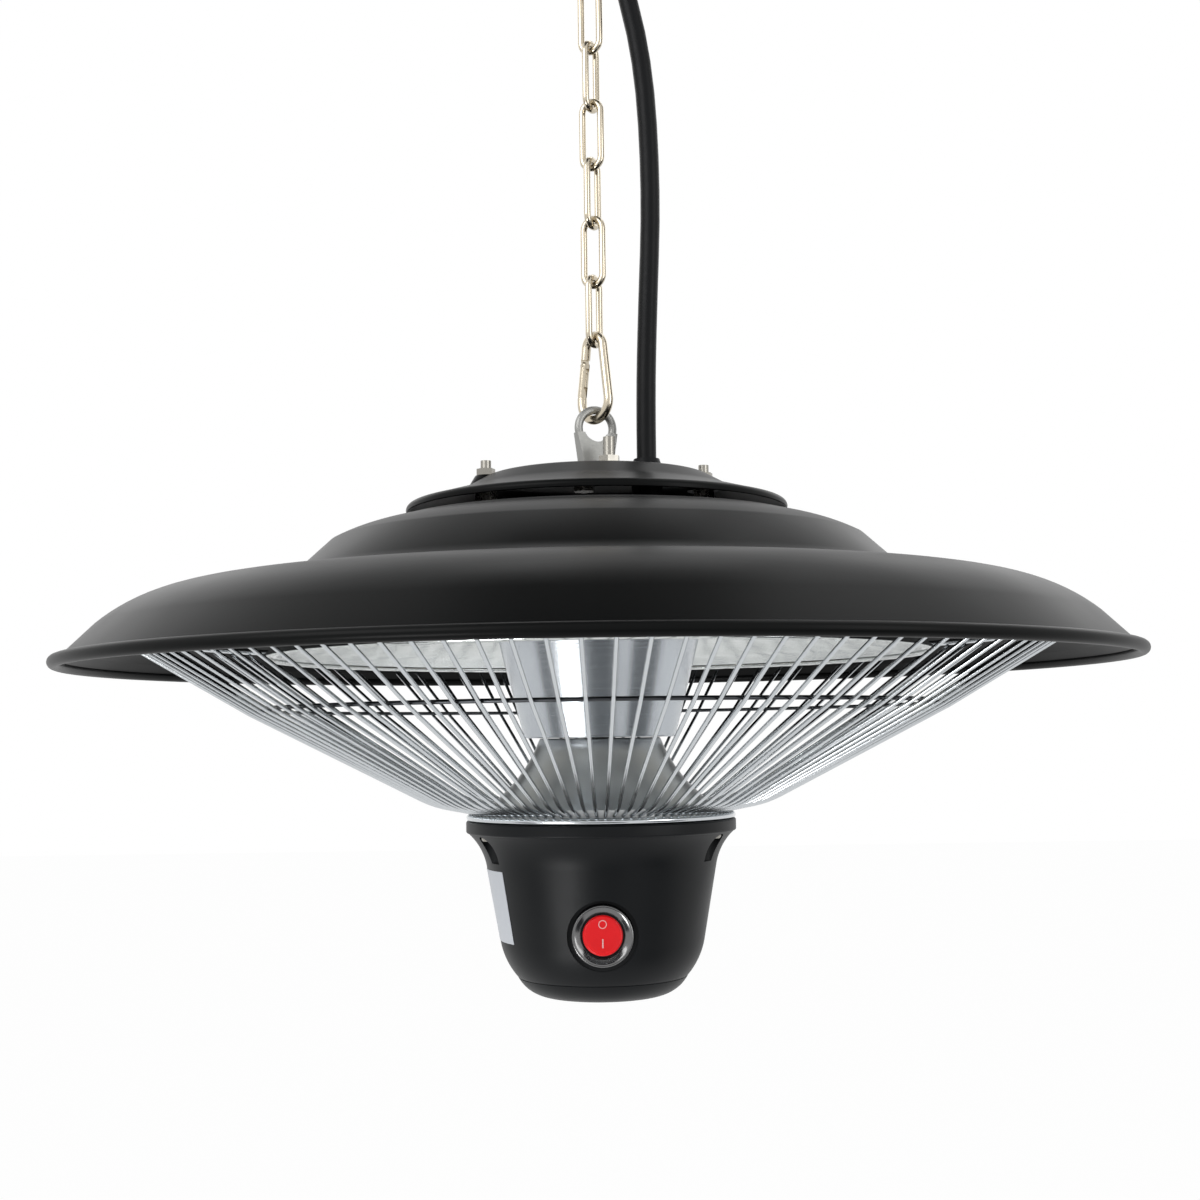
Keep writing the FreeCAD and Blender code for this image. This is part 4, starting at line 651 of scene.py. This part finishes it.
# Ring lamp: a quartz tube bent round the column with a wound filament in it, ceramic ends and steel clips.
# The quartz is clear with a slight bloom in patches of about 5 mm.
quartz, tree, shader = surface("quartz_tube", "#f4f1ec", 0.04, Transmission_Weight=1.0, IOR=1.46)
spot = add(tree, "ShaderNodeTexCoord")
bloom = add(tree, "ShaderNodeTexNoise", {"Scale": 1 / (5 * MM), "Detail": 2.0}, Vector=spot.outputs["Object"])
misty = add(tree, "ShaderNodeMapRange", {"To Min": 0.02, "To Max": 0.16}, Value=bloom.outputs["Fac"])
tree.links.new(misty.outputs[0], shader.inputs["Roughness"])
dress(quartz, "lamp_tube")
# Glazed ceramic: off-white, with a soft mottle about 3 mm across under the glaze.
ceramic, tree, shader = surface("glazed_ceramic", "#e0dacd", 0.3)
spot = add(tree, "ShaderNodeTexCoord")
mottle = add(tree, "ShaderNodeTexNoise", {"Scale": 1 / (3 * MM), "Detail": 3.0},
             Vector=spot.outputs["Object"])
glaze = add(tree, "ShaderNodeMapRange", {"To Min": 0.22, "To Max": 0.4}, Value=mottle.outputs["Fac"])
tree.links.new(glaze.outputs[0], shader.inputs["Roughness"])
dress(ceramic, "lamp_ends")
FILAMENT_TURNS = 150
LAMP_RING = 95 * MM
LAMP_LEVEL = 24 * MM
LAMP_SWEEP = math.radians(334)
STEPS_PER_TURN = 8
FILAMENT_COIL = 1.2 * MM
FILAMENT_WIRE = 0.3 * MM
winding_steps = FILAMENT_TURNS * STEPS_PER_TURN
first_end = math.pi / 2 + (2 * math.pi - LAMP_SWEEP) / 2
winding = []
for step in range(winding_steps + 1):
    along = first_end + LAMP_SWEEP * step / winding_steps
    around = 2 * math.pi * step / STEPS_PER_TURN
    out = LAMP_RING + FILAMENT_COIL * math.cos(around)
    winding.append(Vector((out * math.cos(along), out * math.sin(along),
                           RIM + LAMP_LEVEL + FILAMENT_COIL * math.sin(around))))
filament_curve = smooth_line("filament_curve", winding)
filament_curve.resolution_u = 1
filament_curve.bevel_depth = FILAMENT_WIRE
filament_curve.bevel_resolution = 0
filament_curve.use_fill_caps = True
filament = plain_mesh(bpy.data.objects.new("filament_curve", filament_curve), "lamp_filament_winding")
# Drawn tungsten: grey, with a dull drawn grain about 0.5 mm long.
tungsten, tree, shader = surface("tungsten_wire", "#6d675f", 0.4, 1.0)
spot = add(tree, "ShaderNodeTexCoord")
grain = add(tree, "ShaderNodeTexNoise", {"Scale": 1 / (0.5 * MM), "Detail": 2.0},
            Vector=spot.outputs["Object"])
drawn = add(tree, "ShaderNodeMapRange", {"To Min": 0.3, "To Max": 0.5}, Value=grain.outputs["Fac"])
tree.links.new(drawn.outputs[0], shader.inputs["Roughness"])
settle(filament, tungsten, "heater", "filament", "lamp_filament", angle=60)

# Centre column and flare: a bright turned cone down from the reflector's well, and a brushed trumpet
# that stands on the switch cup and takes the cone's foot, with a fine groove between the two.
# Turned aluminium: rings about 0.8 mm apart drag the reflections out up and down.
# Its faint blue base colour is a painted reflection; the turned aluminium itself is neutral grey.
ringed, tree, shader = surface("turned_aluminium", "#c8cdd2", 0.2, 1.0)
spot = add(tree, "ShaderNodeTexCoord")
apart = add(tree, "ShaderNodeSeparateXYZ", Vector=spot.outputs["Object"])
marks = add(tree, "ShaderNodeTexNoise", {"noise_dimensions": "1D", "Scale": 1 / (0.8 * MM), "Detail": 3.0},
            W=apart.outputs["Z"])
ridge = add(tree, "ShaderNodeBump", {"Strength": 0.25, "Distance": 0.12 * MM}, Height=marks.outputs["Fac"])
satin = add(tree, "ShaderNodeMapRange", {"To Min": 0.18, "To Max": 0.28}, Value=marks.outputs["Fac"])
tree.links.new(ridge.outputs[0], shader.inputs["Normal"])
tree.links.new(satin.outputs[0], shader.inputs["Roughness"])
column = turned("column_cone", [
    (53, 54.4), (31.6, -28.4), (31.2, -28.8), (25.6, -28.8), (25.6, -28), (30.8, -28), (52.2, 54.4)], 128)
# Its foot is a crisp edge, so that the cone's side reflects evenly.
settle(column, ringed, "heater", "polished_aluminium", "centre_column", angle=25)
# Brushed aluminium: level scratches about 0.7 mm apart, hazier than the column.
brushed, tree, shader = surface("brushed_aluminium", "#c8cacb", 0.34, 1.0)
spot = add(tree, "ShaderNodeTexCoord")
apart = add(tree, "ShaderNodeSeparateXYZ", Vector=spot.outputs["Object"])
lines = add(tree, "ShaderNodeTexNoise", {"noise_dimensions": "1D", "Scale": 1 / (0.7 * MM), "Detail": 4.0},
            W=apart.outputs["Z"])
brush = add(tree, "ShaderNodeBump", {"Strength": 0.2, "Distance": 0.15 * MM}, Height=lines.outputs["Fac"])
hazy = add(tree, "ShaderNodeMapRange", {"To Min": 0.24, "To Max": 0.42}, Value=lines.outputs["Fac"])
tree.links.new(brush.outputs[0], shader.inputs["Normal"])
tree.links.new(hazy.outputs[0], shader.inputs["Roughness"])
flare = turned("flare_trumpet", [
    (24.8, -29), (25.4, -29.7, 57, 1), (47.5, -57), (47.5, -61.5), (52.4, -61.5), (52.4, -62.5), (40, -62.5),
    (40, -61.5), (46.38, -61.5), (46.38, -57, 57.8, -1), (24.6, -29.4)], 128)
settle(flare, brushed, "heater", "brushed_aluminium", "lower_flare")

# Guard: a hundred chromed wires welded over three rings, bent like a bowl from the reflector to the cup.
# One tree bends the wire, sets it round the axis and makes all of them one mesh.
# The chrome is bright with a haze in patches of about 4 mm.
WIRE_COUNT = 100
WIRE_THICK = 1.6 * MM
WIRE_BEND = 40 * MM
chrome, tree, shader = surface("chromed_wire", "#c3c7ca", 0.12, 1.0)
spot = add(tree, "ShaderNodeTexCoord")
haze = add(tree, "ShaderNodeTexNoise", {"Scale": 1 / (4 * MM), "Detail": 3.0}, Vector=spot.outputs["Object"])
dulled = add(tree, "ShaderNodeMapRange", {"To Min": 0.08, "To Max": 0.24}, Value=haze.outputs["Fac"])
tree.links.new(dulled.outputs[0], shader.inputs["Roughness"])
guard_tree, given, result = tree_with("guard_wires", Wire="NodeSocketFloat", Count="NodeSocketInt",
                                      Bend="NodeSocketFloat", Finish="NodeSocketMaterial")
line = add(guard_tree, "GeometryNodeMeshToCurve", Mesh=given.outputs["Geometry"])
curved = add(guard_tree, "GeometryNodeFilletCurve", {"mode": "POLY", "Count": 5}, Curve=line.outputs[0],
             Radius=given.outputs["Bend"])
section = add(guard_tree, "GeometryNodeCurvePrimitiveCircle", {"Resolution": 10},
              Radius=given.outputs["Wire"])
wire = add(guard_tree, "GeometryNodeCurveToMesh", {"Fill Caps": True}, Curve=curved.outputs[0],
           Profile_Curve=section.outputs[0])
places = add(guard_tree, "GeometryNodePoints", Count=given.outputs["Count"])
number = add(guard_tree, "GeometryNodeInputIndex")
counted = add(guard_tree, "ShaderNodeMath", {"operation": "ADD", 1: 0.5}, i0=number.outputs[0])
share = add(guard_tree, "ShaderNodeMath", {"operation": "DIVIDE"}, i0=counted.outputs[0],
            i1=given.outputs["Count"])
angle = add(guard_tree, "ShaderNodeMath", {"operation": "MULTIPLY_ADD", 1: 2 * math.pi, 2: -math.pi / 2},
            i0=share.outputs[0])
spin = add(guard_tree, "ShaderNodeCombineXYZ", Z=angle.outputs[0])
fan = add(guard_tree, "GeometryNodeInstanceOnPoints", Points=places.outputs[0], Instance=wire.outputs[0],
          Rotation=spin.outputs[0])
solid = add(guard_tree, "GeometryNodeRealizeInstances", Geometry=fan.outputs[0])
plated = add(guard_tree, "GeometryNodeSetMaterial", Geometry=solid.outputs[0],
             Material=given.outputs["Finish"])
guard_tree.links.new(plated.outputs[0], result.inputs[0])
WIRE_LINE = ((53.6, -58.84), (69.8, -55.6), (143.5, -17.6), (195, 12.9))
guard = grown("guard_wire_bowl", guard_tree, [(out * MM, 0, RIM + up * MM) for out, up in WIRE_LINE], False,
              Wire=WIRE_THICK / 2, Count=WIRE_COUNT, Bend=WIRE_BEND, Finish=chrome)
settle(guard, chrome, "heater", "chrome_wire", "guard_wires", angle=50)
# Middle ring: chromed like the others, but a dull dark grey that is painted shade; streaks about 2 mm long.
shaded_ring_grey, tree, shader = surface("painted_shade_ring", "#4b4d50", 0.35, 1.0)
spot = add(tree, "ShaderNodeTexCoord")
scale = add(tree, "ShaderNodeTexNoise", {"Scale": 1 / (2 * MM), "Detail": 3.0}, Vector=spot.outputs["Object"])
dark = add(tree, "ShaderNodeMapRange", {"To Min": 0.28, "To Max": 0.45}, Value=scale.outputs["Fac"])
tree.links.new(dark.outputs[0], shader.inputs["Roughness"])
for name, node, finish, reach, height, thick in (
        ("guard_ring_top", "guard_top_ring", chrome, 192.56, 14.08, 2.8),
        # The middle ring's dark grey is painted shade.
        ("guard_ring_middle", "guard_middle_ring", shaded_ring_grey, 142.71, -16.07, 1.6),
        ("guard_ring_lower", "guard_lower_ring", chrome, 54.4, -61.1, 2.8)):
    ring = turned(name, round_section(reach, height, thick / 2), 200)
    settle(ring, finish, "heater", "chrome_wire", node, angle=60)

# Switch cup: one black moulding with a flange, a round switch recess and two screw pockets, and a
# domed cap pushed into its lower edge. A bare foil is on its side.
# The moulding is matt, with a spark-eroded grain about 0.6 mm across and slow clouds in its sheen.
moulding, tree, shader = surface("moulded_black_polypropylene", "#101214", 0.4, Specular_IOR_Level=0.16)
spot = add(tree, "ShaderNodeTexCoord")
spark = add(tree, "ShaderNodeTexNoise", {"Scale": 1 / (0.6 * MM), "Detail": 4.0},
            Vector=spot.outputs["Object"])
cloud = add(tree, "ShaderNodeTexNoise", {"Scale": 1 / (25 * MM), "Detail": 2.0},
            Vector=spot.outputs["Object"])
matt = add(tree, "ShaderNodeMapRange", {"To Min": 0.34, "To Max": 0.5}, Value=cloud.outputs["Fac"])
grain = add(tree, "ShaderNodeBump", {"Strength": 0.1, "Distance": 0.1 * MM}, Height=spark.outputs["Fac"])
tree.links.new(matt.outputs[0], shader.inputs["Roughness"])
tree.links.new(grain.outputs[0], shader.inputs["Normal"])
dress(moulding, "cup_bottom", "switch_barrel", "terminal_block")
SWITCH_LEVEL = -106 * MM
SWITCH_SEAT = 38.8 * MM
RECESS_RADIUS = 14 * MM
RECESS_REACH = 30 * MM
WELL_RADIUS = 10.2 * MM
WELL_LENGTH = 34 * MM
SCREW_CIRCLE = 50.2 * MM
SCREW_TURN = math.radians(27)
POCKET_RADIUS = 4.2 * MM
POCKET_LEVEL = -72.5 * MM
POCKET_LENGTH = 13 * MM
WALL_TOP = (47.6, -80.7)
WALL_FOOT = (42.2, -111)
cup = turned("cup_plain", [
    (0, -62.5), (55.1, -62.5, 0.8, -1), (55.9, -63.3), (55.9, -66.6, 0.9, -1), (55, -67.5),
    (54.6, -67.9, 24, 1), WALL_TOP, (*WALL_FOOT, 30, -1), (35, -126.2), (34.6, -126.5), (0, -126.5)], 192)
front = (0, -1, 0)
screw_places = [(side * SCREW_CIRCLE * math.cos(SCREW_TURN), -SCREW_CIRCLE * math.sin(SCREW_TURN))
                for side in (-1, 1)]
cup = drilled("switch_cup_shell", cup,
              ((0, -SWITCH_SEAT - RECESS_REACH / 2, RIM + SWITCH_LEVEL), front, RECESS_RADIUS, RECESS_REACH),
              ((0, -SWITCH_SEAT, RIM + SWITCH_LEVEL), front, WELL_RADIUS, WELL_LENGTH),
              *[((across, back, RIM + POCKET_LEVEL), (0, 0, 1), POCKET_RADIUS, POCKET_LENGTH)
                for across, back in screw_places])
settle(cup, moulding, "heater", "black_plastic", "switch_cup")
screws = []
for name, (across, back) in zip(("screw_left", "screw_right"), screw_places):
    screw = turned(name, [(0, -65.9), (3.4, -65.9), (3.4, -69), (2.8, -69.8), (0, -70)], 40)
    screw.data.transform(Matrix.Translation((across, back, 0)))
    screws.append(screw)
settle(joined("cup_screw_heads", *screws), zinc, "heater", "zinc_fastener", "cup_screws")
# Matt foil: pale grey, rolled in faint streaks about 1.5 mm apart.
foil_face, tree, shader = surface("matt_foil", "#c4c8ce", 0.45)
spot = add(tree, "ShaderNodeTexCoord")
rolled = add(tree, "ShaderNodeTexNoise", {"Scale": 1 / (1.5 * MM), "Detail": 2.0},
             Vector=spot.outputs["Object"])
streak = add(tree, "ShaderNodeMapRange", {"To Min": 0.38, "To Max": 0.55}, Value=rolled.outputs["Fac"])
tree.links.new(streak.outputs[0], shader.inputs["Roughness"])
FOIL_LEVELS = (-82, -111)
FOIL_TURNS = (147, 213)
FOIL_LIFTS = (0.02, 0.15)
FOIL_ROWS = 8
FOIL_COLUMNS = 16
foil_turns = [math.radians(FOIL_TURNS[0] + (FOIL_TURNS[1] - FOIL_TURNS[0]) * place / FOIL_COLUMNS)
              for place in range(FOIL_COLUMNS + 1)]
foil_shape = bmesh.new()
foil_rows = []
for step in range(FOIL_ROWS + 1):
    level = FOIL_LEVELS[0] + (FOIL_LEVELS[1] - FOIL_LEVELS[0]) * step / FOIL_ROWS
    down = (level - WALL_TOP[1]) / (WALL_FOOT[1] - WALL_TOP[1])
    for lift in FOIL_LIFTS:
        out = (WALL_TOP[0] + (WALL_FOOT[0] - WALL_TOP[0]) * down + lift) * MM
        foil_rows.append([foil_shape.verts.new((out * math.cos(turn), out * math.sin(turn), RIM + level * MM))
                          for turn in foil_turns])
inner, outer = foil_rows[0::2], foil_rows[1::2]
for layer in (inner, outer):
    for upper, lower in zip(layer, layer[1:]):
        for place in range(FOIL_COLUMNS):
            foil_shape.faces.new([upper[place], upper[place + 1], lower[place + 1], lower[place]])
for row in (0, FOIL_ROWS):
    for place in range(FOIL_COLUMNS):
        foil_shape.faces.new([inner[row][place], inner[row][place + 1],
                              outer[row][place + 1], outer[row][place]])
for side in (0, FOIL_COLUMNS):
    for row in range(FOIL_ROWS):
        foil_shape.faces.new([inner[row][side], inner[row + 1][side], outer[row + 1][side], outer[row][side]])
bmesh.ops.recalc_face_normals(foil_shape, faces=foil_shape.faces[:])
settle(made_from("bare_foil", foil_shape), foil_face, "heater", "brushed_aluminium")

# Plug on the cord's far end: a flat moulded contour plug with a ribbed grip, made about its own axis
# and laid along the cord's end, with its two pins to the back.
PLUG_FLATTEN = 0.68
plug = turned("plug_moulding", [
    (0, 0), (6.4, 0), (7, 0.6), (7.6, 5), (8.6, 5.2), (8.9, 9), (7.9, 9.2), (8.6, 13), (9.6, 13.2), (10, 17),
    (9, 17.2), (10.4, 21), (13, 25.5), (17.2, 29.4), (18, 31), (18, 40.6), (16.8, 42), (0, 42)], 72, 0)
plug.data.transform(Matrix.Translation(route[-1]) @ Matrix.Diagonal((1, 1, PLUG_FLATTEN, 1))
                    @ Matrix.Rotation(math.radians(-90), 4, "X"))
settle(plug, rubber, "chain", "cord_rubber", "plug_body")
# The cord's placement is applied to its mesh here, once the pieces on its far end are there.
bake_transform(cord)

# Rocker switch: a gloss black bezel snapped into the recess and a red rocker with a hollow face, off,
# so its upper end is pushed in. A raised ring and bar stand for off and on.
# Gloss polyamide: near black, with moulding flow about 4 mm long in its gloss.
gloss_black, tree, shader = surface("gloss_black_polyamide", "#1b1b1d", 0.2, IOR=1.8, Specular_IOR_Level=0.9)
spot = add(tree, "ShaderNodeTexCoord")
flow = add(tree, "ShaderNodeTexNoise", {"Scale": 1 / (4 * MM), "Detail": 2.0}, Vector=spot.outputs["Object"])
slick = add(tree, "ShaderNodeMapRange", {"To Min": 0.1, "To Max": 0.24}, Value=flow.outputs["Fac"])
tree.links.new(slick.outputs[0], shader.inputs["Roughness"])
to_front = Matrix.Rotation(math.radians(90), 4, "X")
bezel = turned("bezel_ring", [
    (8.45, -3), (8.45, 0.3), (8.7, 0.65), (9.6, 1.35), (10.5, 1.95), (11.1, 2.3), (11.6, 2.38), (12, 2.15),
    (12.3, 1.5), (12.4, 0.02), (10.1, 0.02), (10.1, -3)], 96, 0)
bezel.data.transform(Matrix.Translation((0, -SWITCH_SEAT, RIM + SWITCH_LEVEL)) @ to_front)
settle(bezel, gloss_black, "heater", "gloss_black", "switch_bezel", angle=50)
# Red polycarbonate: clear to the light a little way in, with a satin face in patches of about 2 mm.
red, tree, shader = surface("red_polycarbonate", "#e8141c", 0.34, Specular_IOR_Level=0.3,
                            Subsurface_Weight=0.25, Subsurface_Scale=1.5 * MM)
spot = add(tree, "ShaderNodeTexCoord")
patch = add(tree, "ShaderNodeTexNoise", {"Scale": 1 / (2 * MM), "Detail": 2.0}, Vector=spot.outputs["Object"])
satin = add(tree, "ShaderNodeMapRange", {"To Min": 0.24, "To Max": 0.38}, Value=patch.outputs["Fac"])
tree.links.new(satin.outputs[0], shader.inputs["Roughness"])
# Printed ink: a pale pink white, a little uneven about 0.3 mm across.
ink, tree, shader = surface("pale_print", "#e9b9b9", 0.5)
spot = add(tree, "ShaderNodeTexCoord")
blot = add(tree, "ShaderNodeTexNoise", {"Scale": 1 / (0.3 * MM), "Detail": 2.0},
           Vector=spot.outputs["Object"])
thin = add(tree, "ShaderNodeMapRange", {"To Min": 0.4, "To Max": 0.6}, Value=blot.outputs["Fac"])
tree.links.new(thin.outputs[0], shader.inputs["Roughness"])
ROCKER_TILT = math.radians(-7)
ROCKER_SINK = 0.1 * MM
FACE_LEVEL = 3.1
FACE_FLOOR = 2 * MM
HOLLOW_DEPTH = 0.9 * MM
HOLLOW_RADIUS = 34 * MM
MARK_ROOT = FACE_LEVEL - 0.3
MARK_TOP = FACE_LEVEL + 0.06
RING_INNER = 1.35
RING_OUTER = 1.65
RING_HEIGHT = 4.2 * MM
BAR_WIDTH = 0.5 * MM
BAR_LENGTH = 3.4 * MM
BAR_HEIGHT = -3.1 * MM
rocker = turned("rocker_cap", [
    (0, FACE_LEVEL), (2, FACE_LEVEL), (4, FACE_LEVEL), (5.6, FACE_LEVEL), (7, FACE_LEVEL), (7.45, 2.95),
    (7.75, 2.6), (7.9, 2.1), (7.9, -3.1), (0, -3.1)], 72, 0)
off_ring = turned("off_ring", [(RING_INNER, MARK_ROOT), (RING_INNER, MARK_TOP), (RING_OUTER, MARK_TOP),
                               (RING_OUTER, MARK_ROOT)], 48, 0)
off_ring.data.transform(Matrix.Translation((0, RING_HEIGHT, 0)))
bar_shape = bmesh.new()
bmesh.ops.create_cube(bar_shape, size=1,
                      matrix=Matrix.Translation((0, BAR_HEIGHT, (MARK_ROOT + MARK_TOP) / 2 * MM))
                      @ Matrix.Diagonal((BAR_WIDTH, BAR_LENGTH, (MARK_TOP - MARK_ROOT) * MM, 1)))
marks = joined("rocker_marks", off_ring, made_from("on_bar", bar_shape))
to_place = (Matrix.Translation((0, -SWITCH_SEAT - ROCKER_SINK, RIM + SWITCH_LEVEL))
            @ Matrix.Rotation(ROCKER_TILT, 4, "X"))
for thing, material, nodes in ((rocker, red, ["switch_rocker"]), (marks, ink, [])):
    for vertex in thing.data.vertices:
        if vertex.co.z > FACE_FLOOR:
            vertex.co.z -= max(HOLLOW_DEPTH - vertex.co.y ** 2 / (2 * HOLLOW_RADIUS), 0)
    thing.data.transform(to_place @ to_front)
    settle(thing, material, "rocker", "red_rocker", *nodes, angle=50)
    # Its red is kept out of the bright pieces nearby.
    thing.visible_glossy = False

# Bring every piece's placement up to date at the end.
bpy.context.view_layer.update()
